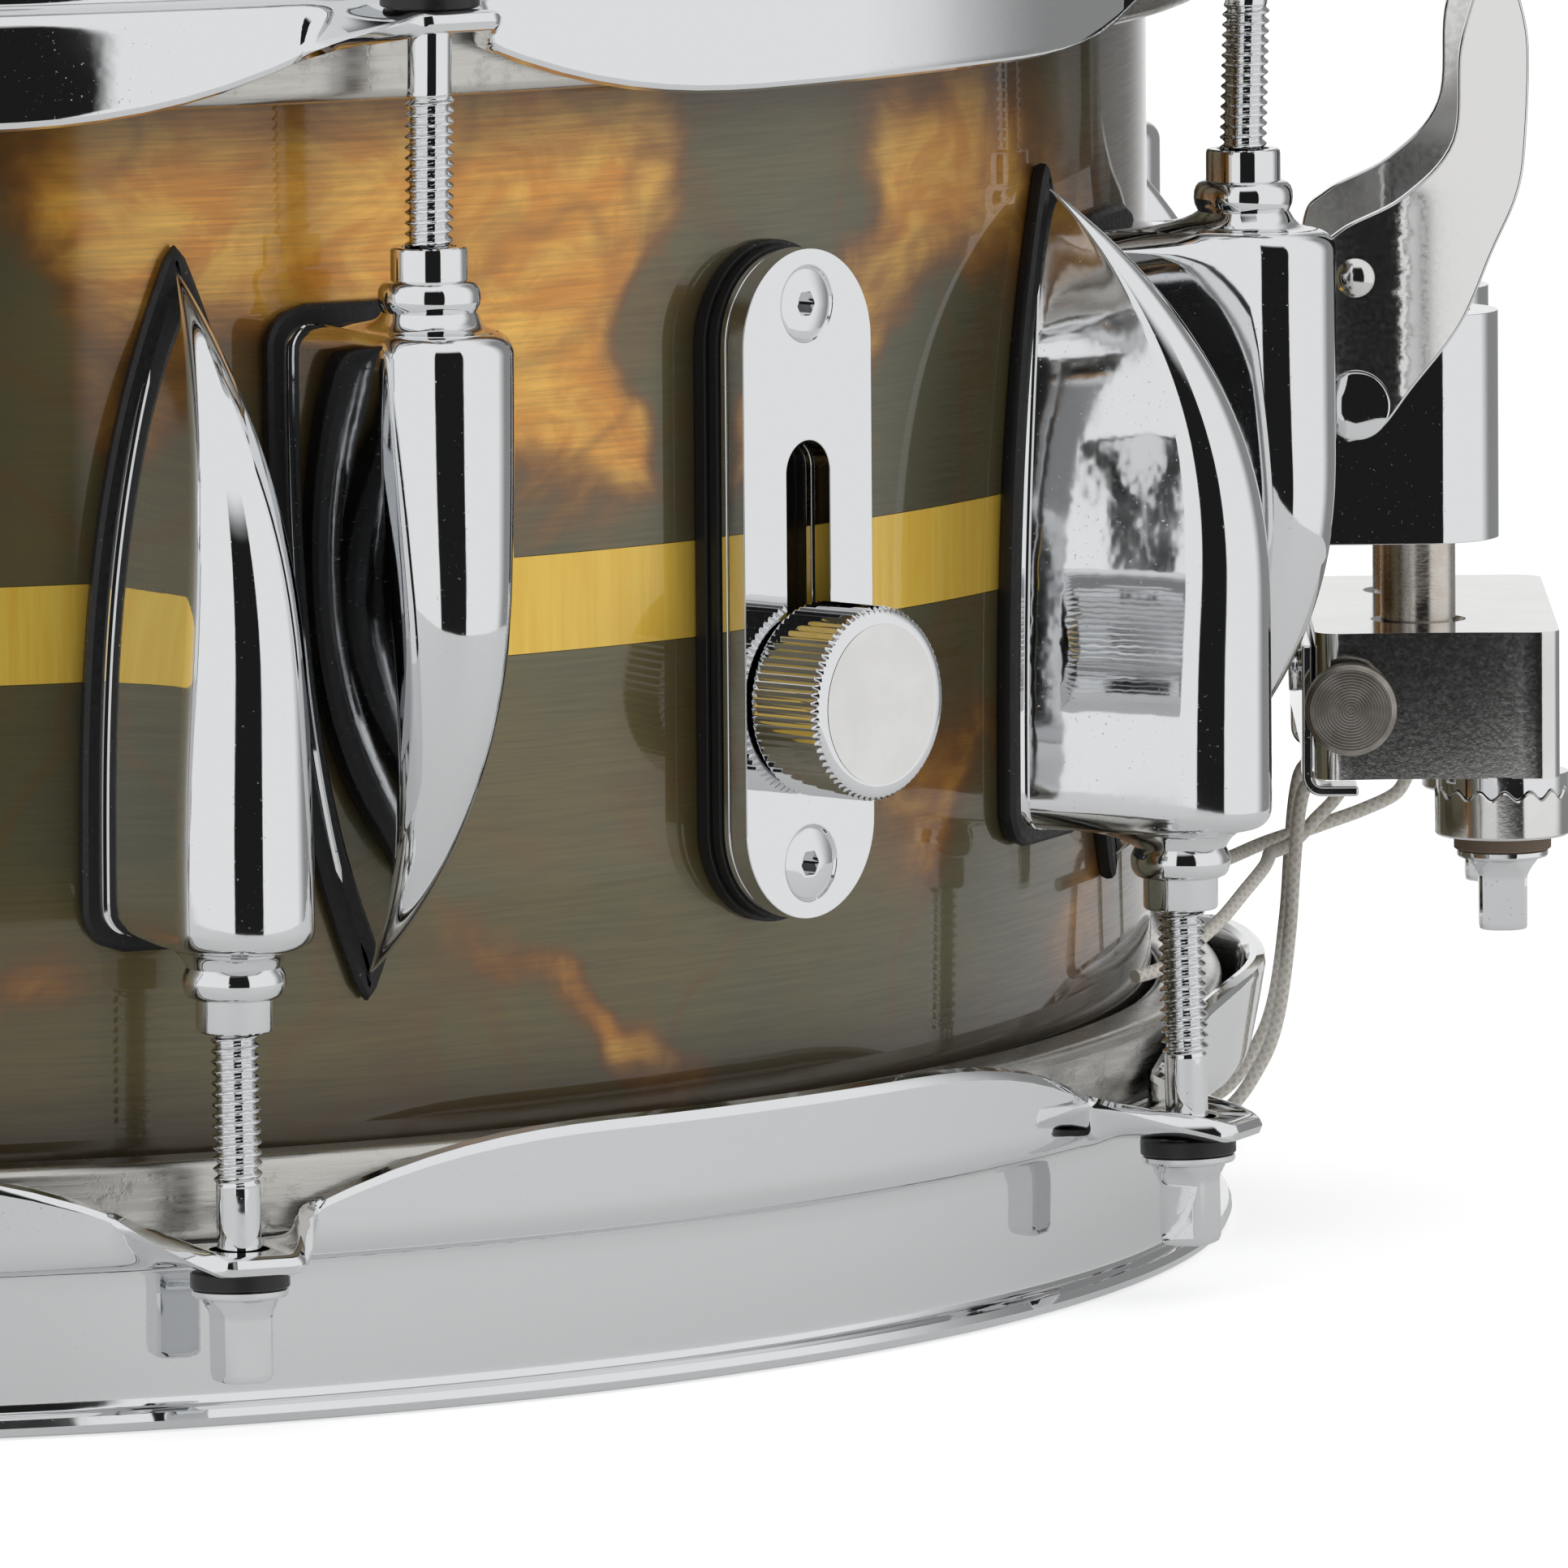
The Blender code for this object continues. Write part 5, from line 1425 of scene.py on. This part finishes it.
def make_muffler(looks):
    """The plate on the shell, the knob in its slot, and the pad on its arm inside."""
    bead = [
        muffler_layer("bead_low", 0.0007, 0.17718, 0.17885),
        muffler_layer("bead_high", 0.0002, 0.17890, 0.18020),
    ]
    piece("muffler_gasket", joined("bead", bead), looks["rubber"], "drum", MUFFLER, bevel=0.0005)
    under = muffler_layer("under", -0.0002, 0.18022, 0.18135)
    piece("muffler_base_strip", under, looks["chrome"], "drum", MUFFLER, bevel=0.0003)
    line = muffler_layer("line", -0.0007, 0.18136, 0.18165)
    piece("muffler_seam", line, looks["rubber"], "drum", MUFFLER)
    seats = []
    for side in (-1, 1):
        cone = [(0.0, -0.0035), (0.0020, -0.0035), (0.0046, 0.0003), (0.0, 0.0003)]
        rim = lathe("seat", cone, 48, closed=False)
        place = shift(PLATE_FACE, 0, MID_HEIGHT + side * SCREW_RISE)
        seats.append(moved(rim, place @ quarter("Y")))
    face = carved(muffler_layer("plate", 0.0, 0.18166, PLATE_FACE), seats)
    piece("muffler_face", face, looks["chrome"], "drum", MUFFLER, ["muffler_plate"], bevel=0.0007)
    for number, side in enumerate((-1, 1), start=1):
        place = MUFFLER @ shift(PLATE_FACE - 0.0002, 0, MID_HEIGHT + side * SCREW_RISE)
        screw = socket_screw("screw", 0.00410, 0.0016, 0.0027)
        turn = quarter("Y")
        piece(f"muffler_screw_{number}", screw, looks["chrome"], "drum", place @ turn)
    knob_place = MUFFLER @ shift(PLATE_FACE + 0.0003, 0, KNOB_HEIGHT) @ quarter("Y")
    stands_for = ["muffler_knob"]
    piece("knurled_knob", knob_mesh(), looks["chrome"], "muffler_knob", knob_place, stands_for)
    disc = [(0.0, KNOB_LENGTH), (0.0088, KNOB_LENGTH)]
    disc += [(0.0091, KNOB_LENGTH + 0.00006), (0.0, KNOB_LENGTH + 0.00008)]
    cap = lathe("knob_face", disc, 96, closed=False)
    piece("knob_face", cap, looks["satin"], "muffler_knob", knob_place)
    arm = arm_mesh()
    steel = looks["steel"]
    stands_for = ["muffler_arm"]
    piece("pad_arm", arm, steel, "muffler_slider", MUFFLER, stands_for, bevel=0.0004)
    low, high = 0.1318, 0.1384
    edge = [(0.0, low), (0.0122, low), (0.0128, low + 0.0008), (0.0130, (low + high) / 2)]
    edge += [(0.0128, high - 0.0009), (0.0121, high - 0.0001), (0.0060, high), (0.0, high)]
    pad = lathe("felt_pad", edge, 96, closed=False)
    place = MUFFLER @ shift(0.1540, 0, 0)
    felt = piece("felt_pad", pad, looks["felt"], "muffler_slider", place, ["muffler_pad"])


# ---------------------------------------------------------------- throw-off

def make_housing(looks):
    """The foot on the shell, its gasket, and the two open tubes that the posts slide in."""
    across = POST_Y + TUBE_RADIUS
    outline = [(BASE_BACK, -across + 0.0030), (BASE_BACK + 0.0030, -across)]
    for centre, start, end in ((-POST_Y, -90, 60), (POST_Y, -60, 90)):
        for k in range(41):
            turn = math.radians(start + (end - start) * k / 40)
            outline.append((POST_X + TUBE_RADIUS * math.cos(turn), centre + TUBE_RADIUS * math.sin(turn)))
    outline += [(BASE_BACK + 0.0030, across), (BASE_BACK, across - 0.0030)]
    cutters = []
    for side in (-1, 1):
        narrow = circle(POST_X, side * POST_Y, 0.0049)
        bore = prism("bore", narrow, HOUSING_LOW - 0.002, HOUSING_HIGH - 0.006)
        wide = circle(POST_X, side * POST_Y, 0.0062)
        mouth = prism("mouth", wide, HOUSING_HIGH - 0.0061, HOUSING_HIGH + 0.002)
        groove = [(POST_X + TUBE_RADIUS - 0.0004, 0.0), (POST_X + TUBE_RADIUS + 0.001, -0.0005)]
        groove.append((POST_X + TUBE_RADIUS + 0.001, 0.0005))
        line = prism("groove", groove, HOUSING_LOW + 0.003, HOUSING_HIGH - 0.003)
        line.transform(shift(0, side * POST_Y, 0))
        cutters += [bore, mouth, line]
    pin = prism("pin", circle(PIVOT_X, PIVOT_HEIGHT, PIN_RADIUS), -0.04, 0.04, axis="Y")
    housing = carved(prism("housing", outline, HOUSING_LOW, HOUSING_HIGH), [*cutters, pin])
    stands_for = ["strainer_base"]
    piece("throw_off_housing", housing, looks["chrome"], "drum", THROW, stands_for, bevel=0.0008)
    half = across - 0.0022
    foot = rounded_rectangle(-half, half, HOUSING_LOW + 0.0002, HOUSING_HIGH - 0.0002, 0.002, 6)
    sections = []
    for r, grow in ((0.0, 0.0), (0.0006, 0.0003)):
        ring = []
        for y, z in foot:
            reach = BASE_BACK - 0.00005 if r else SHELL_RADIUS - bow(y) + 0.00005
            ring.append((reach, y * (1 + grow), z))
        sections.append(ring)
    piece("housing_gasket", loft("housing_gasket", sections), looks["rubber"], "drum", THROW)


def lever_outline():
    """The lever's side outline about its pivot: the horn's outer edge going up, then its inner edge down."""
    rise = LEVER_TOP - PIVOT_HEIGHT
    outer = [(-0.0010, -0.0045), (0.0028, -0.0031), (0.0066, 0.0017), (0.0124, 0.0093)]
    outer += [(0.0162, 0.0179), (0.0191, 0.0245), (0.0201, 0.0306), (0.0205, 0.0420)]
    outer.append((0.0194, rise - 0.0030))
    inner = [(0.0150, rise), (0.0124, 0.0420), (0.0115, 0.0310), (0.0056, 0.0244)]
    inner += [(-0.0019, 0.0204), (-0.0048, 0.0160), (-0.0048, 0.0000)]
    return smooth_curve(outer, 8), smooth_curve(inner, 8)


def make_lever(looks):
    """Two horn-shaped side plates joined by the handle's curved web, their edges bright."""
    outer, inner = lever_outline()
    far = LEVER_INNER + LEVER_PLATE
    plates = []
    for low, high in ((-far, -LEVER_INNER), (LEVER_INNER, far)):
        plates.append(prism("plate", outer + inner, low, high, axis="Y"))
    start = 5 * 8
    handle = outer[start:]
    web = handle + [(a - LEVER_PLATE, b - 0.0004) for a, b in reversed(handle)]
    plates.append(prism("web", web, -far + 0.0004, far - 0.0004, axis="Y"))
    pivot = THROW @ shift(PIVOT_X, 0, PIVOT_HEIGHT)
    mesh = joined("lever", plates)
    for look in ("lever", "chrome"):
        mesh.materials.append(looks[look])
    mesh.shade_smooth()
    mesh.set_sharp_from_angle(angle=math.radians(32))
    stands_for = ["strainer_lever"]
    satin = looks["lever"]
    lever = piece("lever_horn", mesh, satin, "lever", pivot, stands_for, bevel=0.0006)
    lever.modifiers["edge"].material = 1
    rivet_profile = [(0.0, 0.0010), (0.0010, 0.0009), (0.0019, 0.0005)]
    rivet_profile += [(0.0023, 0.0), (0.0023, -0.0010), (0.0, -0.0010)]
    for name, side in (("near", -1), ("far", 1)):
        rivet = lathe("rivet", rivet_profile, 32, closed=False)
        place = pivot @ shift(0.0, side * far, 0.0149) @ quarter("X", -side)
        piece(f"lever_rivet_{name}", rivet, looks["satin"], "lever", place)
        head = socket_screw("pivot_head", 0.0040, 0.0021, 0.0025)
        place = pivot @ shift(0, side * (far + 0.0024), 0) @ quarter("X", -side)
        replaced = ["lever_pin"] if side < 0 else []
        piece(f"pivot_screw_{name}", head, looks["chrome"], "drum", place, replaced)
    pin = [(0.0, -0.0287), (0.0024, -0.0287), (0.0024, 0.0287), (0.0, 0.0287)]
    shaft = lathe("pivot_shaft", pin, 32, closed=False)
    piece("pivot_shaft", shaft, looks["steel"], "drum", pivot @ quarter("X"))


def make_block(looks):
    """The sliding block with its countersunk seats and the adjusters' bores, two posts, and the release
    button.
    """
    outline = rounded_rectangle(BLOCK_BACK, BLOCK_FRONT, -BLOCK_HALF, BLOCK_HALF, 0.0030, 8)
    middle = (BLOCK_BACK + BLOCK_FRONT) / 2
    reach = middle - BLOCK_BACK - 0.0030
    hollow = [middle + reach * (k / 8 - 1) for k in range(1, 16)]
    outline = [(x, BLOCK_SINK * (1 - ((x - middle) / reach) ** 2) - BLOCK_HALF) for x in hollow] + outline
    cutters = []
    for side in (-1, 1):
        seat = [(0.0, -0.0130), (POST_RADIUS + 0.0002, -0.0130), (POST_RADIUS + 0.0002, -0.0011)]
        seat += [(0.00565, 0.00001), (0.00565, 0.002), (0.0, 0.002)]
        place = shift(POST_X, side * POST_Y, BLOCK_HIGH)
        cutters.append(moved(lathe("seat", seat, 48, closed=False), place))
        rim = circle(ADJUSTER_X, side * ADJUSTER_Y, 0.0032, 32)
        cutters.append(prism("bore", rim, BLOCK_LOW - 0.002, 0.0670))
    front = -BLOCK_HALF
    recess = circle(BUTTON_X, BUTTON_HEIGHT, BUTTON_RADIUS + 0.0003)
    cup = prism("cup", recess, front - 0.002, front + 0.0003, axis="Y")
    neck = prism("neck", circle(BUTTON_X, BUTTON_HEIGHT, 0.0032), front - 0.002, front + 0.0100, axis="Y")
    block = carved(prism("block", outline, BLOCK_LOW, BLOCK_HIGH), [*cutters, cup, neck])
    stands_for = ["strainer_block"]
    piece("sliding_block", block, looks["block"], "carriage", THROW, stands_for, bevel=0.0007)
    foot = BLOCK_HIGH - 0.0127
    length = HOUSING_HIGH - foot - 0.0080
    rod = [(0.0, 0.0), (POST_RADIUS, 0.0), (POST_RADIUS, length - 0.0005)]
    rod += [(POST_RADIUS - 0.0005, length), (0.0, length)]
    for name, side in (("near", -1), ("far", 1)):
        post = lathe("post", rod, 64, closed=False)
        place = THROW @ shift(POST_X, side * POST_Y, foot)
        stands_for = [f"guide_post_{name}"]
        piece(f"post_{name}", post, looks["steel"], "carriage", place, stands_for)
    under = 0.0028
    profile = [(0.0, -BUTTON_PROUD), (BUTTON_RADIUS - 0.0006, -BUTTON_PROUD)]
    profile += [(BUTTON_RADIUS, -BUTTON_PROUD + 0.0004), (BUTTON_RADIUS, -under - 0.0002)]
    profile += [(BUTTON_RADIUS - 0.0003, -under), (0.0028, -under), (0.0028, 0.0068), (0.0, 0.0068)]
    button = lathe("button", profile, 64, closed=False)
    place = THROW @ shift(BUTTON_X, front, BUTTON_HEIGHT) @ quarter("X", -1)
    stands_for = ["release_button"]
    piece("button", button, looks["turned"], "release_button", place, stands_for)


def waved(radius, z, swing=0.0):
    """A circle whose height swings as it goes round, once for each detent."""
    turns = [math.tau * k / WAVE_STEPS for k in range(WAVE_STEPS)]
    return [(radius * math.cos(t), radius * math.sin(t), z + swing * math.cos(DETENTS * t)) for t in turns]


def wave_ring(inner, outer, low, high):
    """A ring whose top edge is waved, as on a detent wheel."""
    crest = high - DETENT_DEPTH
    sections = [
        waved(inner, low),
        waved(outer - 0.0003, low),
        waved(outer, low + 0.0003),
        waved(outer, crest - 0.0002, DETENT_DEPTH),
        waved(outer - 0.0002, crest, DETENT_DEPTH),
        waved(inner, crest, DETENT_DEPTH),
    ]
    return loft("wave_ring", sections, around=True)


def detent_ring(inner, outer, low, high):
    """The fixed ring above a detent wheel, whose lower edge follows the wheel's waves."""
    sections = [
        waved(inner, high),
        waved(outer, high),
        waved(outer, low + 0.0002, DETENT_DEPTH),
        waved(outer - 0.0002, low, DETENT_DEPTH),
        waved(inner, low, DETENT_DEPTH),
    ]
    return loft("detent_ring", sections, around=True)


def make_adjusters(looks):
    """Under the block: a waved ring on it, and a detent wheel that turns with its key-headed screw."""
    for name, side in (("near", -1), ("far", 1)):
        body = f"adjuster_{name}"
        place = THROW @ shift(ADJUSTER_X, side * ADJUSTER_Y, 0)
        seat = detent_ring(0.0033, 0.0078, 0.0533 - DETENT_DEPTH, BLOCK_LOW + 0.0001)
        piece(f"detent_ring_{name}", seat, looks["chrome"], "carriage", place)
        wheel = wave_ring(0.0026, 0.0080, 0.0475, 0.0532)
        piece(f"detent_wheel_{name}", wheel, looks["satin"], body, place, [body])
        washer = washer_mesh("washer", 0.0026, 0.00575, 0.04582, 0.04748)
        piece(f"fibre_washer_{name}", washer, looks["fibre"], body, place)
        sections = [round_ring(THREAD_RADIUS - 0.0001, height) for height in (0.0660, 0.0458)]
        key = loft("adjuster_key", sections + key_head(0.0458, 0.0362))
        piece(f"adjuster_key_{name}", key, looks["chrome"], body, place)


def make_cord_clamp(looks):
    """The thin plate behind the block that grips the cords: its end tabs bend forward under the block."""
    bend = 0.0012
    line = [(0.2015, 0.0532), (0.1961 + bend, 0.0532)]
    for k in range(1, 8):
        turn = math.radians(90 * k / 8)
        back = (bend + 0.0006) * math.sin(turn)
        line.append((0.1961 + bend - back, 0.0532 + 0.0018 * (1 - math.cos(turn))))
    line += [(0.1955, 0.0555), (0.1955, 0.0705)]
    plate = prism("clamp", strip(line, CLAMP_THICKNESS), -0.0290, 0.0290, axis="Y")
    gap = rounded_rectangle(0.190, 0.205, 0.0500, 0.0575, 0.001)
    notch = prism("notch", gap, -0.0225, 0.0225, axis="Y")
    mesh = carved(plate, [notch])
    piece("clamp_plate", mesh, looks["chrome"], "carriage", THROW, ["cord_clamp"], bevel=0.0003)
    for name, side in (("near", -1), ("far", 1)):
        head = socket_screw("clamp_screw", 0.0025, 0.0013, 0.0016, 0.0008)
        place = shift(CLAMP_BACK - 0.0013, side * 0.0185, 0.0665) @ quarter("Y", -1)
        piece(f"clamp_screw_{name}", head, looks["chrome"], "carriage", THROW @ place)


# ---------------------------------------------------------------- snare wires and butt end

def coil_mesh(length, radius, wire, pitch):
    """A close coil along X as a four-sided wire."""
    per_turn = 10
    count = round(length / pitch) * per_turn
    route = []
    for k in range(count + 1):
        turn = math.tau * k / per_turn
        route.append((length * (k / count - 0.5), radius * math.cos(turn), radius * math.sin(turn)))
    return tube("snare_strand", route, wire, 4)


def make_snare_wires(looks):
    """Twenty coiled strands between two end plates, under the snare head."""
    middle = WIRE_TOP - WIRE_THICKNESS / 2
    span = WIRE_HALF_SPAN - END_PLATE
    coil = coil_mesh(2 * span + 0.008, 0.00072, 0.00022, 0.0021)
    for k in range(STRANDS):
        y = (k - (STRANDS - 1) / 2) * (2 * WIRE_HALF_WIDTH / STRANDS)
        place = THROW @ shift(0, y, middle)
        stands_for = [] if k else ["snare_wires"]
        piece(f"snare_strand_{k + 1}", coil, looks["steel"], "drum", place, stands_for)
    for name, side in (("throw", 1), ("butt", -1)):
        low, high = sorted((side * (WIRE_HALF_SPAN - END_PLATE), side * WIRE_HALF_SPAN))
        outline = rounded_rectangle(low, high, -WIRE_HALF_WIDTH, WIRE_HALF_WIDTH, 0.0025)
        plate = prism("end_plate", outline, middle - 0.00095, middle - 0.00020)
        piece(f"wire_end_{name}", plate, looks["steel"], "drum", THROW, bevel=0.0002)


def make_butt(looks):
    """The fixed end: a plate on the shell and a screwed clamp over the cord's loop."""
    half = 0.0260
    low, high = 0.0380, 0.0700
    sections = []
    outline = rounded_rectangle(-half, half, low, high, 0.0060)
    for front in (False, True):
        ring = []
        for y, z in outline:
            reach = 0.1914 if front else SHELL_RADIUS + 0.0006 - bow(y)
            ring.append((-reach, y, z))
        sections.append(ring)
    plate = loft("butt_plate", sections)
    piece("butt_base", plate, looks["chrome"], "drum", THROW, ["butt_plate"], bevel=0.0012)
    outline = rounded_rectangle(-half + 0.004, half - 0.004, low + 0.003, high - 0.004, 0.004)
    clamp = prism("butt_clamp", outline, -0.1956, -0.1940, axis="X")
    piece("butt_cover", clamp, looks["chrome"], "drum", THROW, ["butt_clamp"], bevel=0.0005)
    for name, side in (("near", -1), ("far", 1)):
        sleeve = [(0.0, 0.0), (0.0026, 0.0), (0.0026, 0.0029), (0.0, 0.0029)]
        screw = lathe("butt_screw", sleeve, 32, closed=False)
        place = shift(-0.1914, side * 0.0165, 0.0600) @ quarter("Y", -1)
        piece(f"butt_spacer_{name}", screw, looks["steel"], "drum", THROW @ place)
        head = socket_screw("butt_head", 0.0041, 0.0003, 0.0030, 0.0002)
        place = shift(-0.1958, side * 0.0165, 0.0600) @ quarter("Y", -1)
        piece(f"butt_screw_{name}", head, looks["satin"], "drum", THROW @ place)


# ---------------------------------------------------------------- studio

def make_studio(floor_look):
    """A round white floor in a white studio that has one dark gap around the camera."""
    make_floor(floor_look)
    make_world()
    bpy.context.scene.view_settings.view_transform = "Standard"


def make_floor(floor_look):
    bm = bmesh.new()
    bmesh.ops.create_circle(bm, cap_ends=True, radius=FLOOR_RADIUS, segments=128)
    mesh = bpy.data.meshes.new("floor")
    bm.to_mesh(mesh)
    bm.free()
    floor = bpy.data.objects.new("floor", mesh)
    bpy.context.scene.collection.objects.link(floor)
    floor.location.z = BASE_Z - 0.0002
    mesh.materials.append(floor_look)


def make_world():
    """White to the camera. Everything else sees a dark gap around the camera and dimmer sides behind it."""
    world = bpy.data.worlds.new("studio")
    bpy.context.scene.world = world
    world.use_nodes = True
    nodes = world.node_tree.nodes
    links = world.node_tree.links
    nodes.clear()

    def node(kind, **values):
        made = nodes.new(kind)
        for name, value in values.items():
            setattr(made, name, value)
        return made

    def calc(operation, first, second):
        made = node("ShaderNodeMath", operation=operation)
        for socket, value in zip(made.inputs, (first, second)):
            if isinstance(value, (int, float)):
                socket.default_value = value
            else:
                links.new(value, socket)
        return made.outputs[0]

    def ramp(value, low, high):
        made = node("ShaderNodeMapRange", interpolation_type="SMOOTHSTEP")
        links.new(value, made.inputs["Value"])
        made.inputs["From Min"].default_value = low
        made.inputs["From Max"].default_value = high
        return made.outputs["Result"]

    direction = node("ShaderNodeTexCoord").outputs["Generated"]
    split = node("ShaderNodeSeparateXYZ")
    links.new(direction, split.inputs[0])
    x, y, z = split.outputs
    azimuth = calc("MULTIPLY", calc("ARCTAN2", x, calc("MULTIPLY", y, -1.0)), 180 / math.pi)
    past_start = ramp(azimuth, GAP_START_DEG - 1, GAP_START_DEG + 1)
    before_end = ramp(azimuth, GAP_END_DEG + 1, GAP_END_DEG - 1)
    inside = calc("MULTIPLY", past_start, before_end)
    gap = calc("MULTIPLY", calc("MULTIPLY", inside, ramp(z, 0.75, 0.55)), -0.985)
    turned = calc("ABSOLUTE", azimuth, 0.0)
    side = calc("MULTIPLY", ramp(turned, 95.0, 120.0), ramp(turned, 172.0, 155.0))
    side = calc("MULTIPLY", side, calc("MULTIPLY", ramp(z, 0.9, 0.6), BACK_DIM - 1))
    light = calc("MULTIPLY", calc("MULTIPLY", calc("ADD", gap, 1.0), calc("ADD", side, 1.0)), STUDIO_LIGHT)
    studio = node("ShaderNodeBackground")
    studio.inputs["Color"].default_value = rgb(1.0, 1.0, 1.0)
    links.new(light, studio.inputs["Strength"])
    paper = node("ShaderNodeBackground")
    paper.inputs["Color"].default_value = rgb(1.0, 1.0, 1.0)
    paper.inputs["Strength"].default_value = 1.1
    seen = node("ShaderNodeLightPath").outputs["Is Camera Ray"]
    blend = node("ShaderNodeMixShader")
    links.new(seen, blend.inputs[0])
    links.new(studio.outputs[0], blend.inputs[1])
    links.new(paper.outputs[0], blend.inputs[2])
    links.new(blend.outputs[0], node("ShaderNodeOutputWorld").inputs[0])


# ---------------------------------------------------------------- build

make_camera()
make_cords(braid_finish())
chrome = chrome_finish()
rubber = rubber_finish()
aluminium = aluminium_finish()
finishes = {
    "chrome": chrome,
    "rubber": rubber,
    "satin": satin_chrome_finish(),
    "steel": steel_finish(),
    "lever": lever_finish(),
    "turned": turned_face_finish(),
    "block": satin_chrome_finish(),
    "fibre": fibre_finish(),
    "felt": felt_finish(),
}
make_shell(patina_finish(), raw_brass_finish(), band_finish())
make_heads(coated_film_finish(), clear_film_finish(), aluminium)
make_hoops(chrome)
make_lugs(chrome, rubber)
make_rods(chrome, nylon_finish())
make_muffler(finishes)
make_housing(finishes)
make_lever(finishes)
make_block(finishes)
make_adjusters(finishes)
make_cord_clamp(finishes)
make_snare_wires(finishes)
make_butt(finishes)
make_studio(floor_finish())
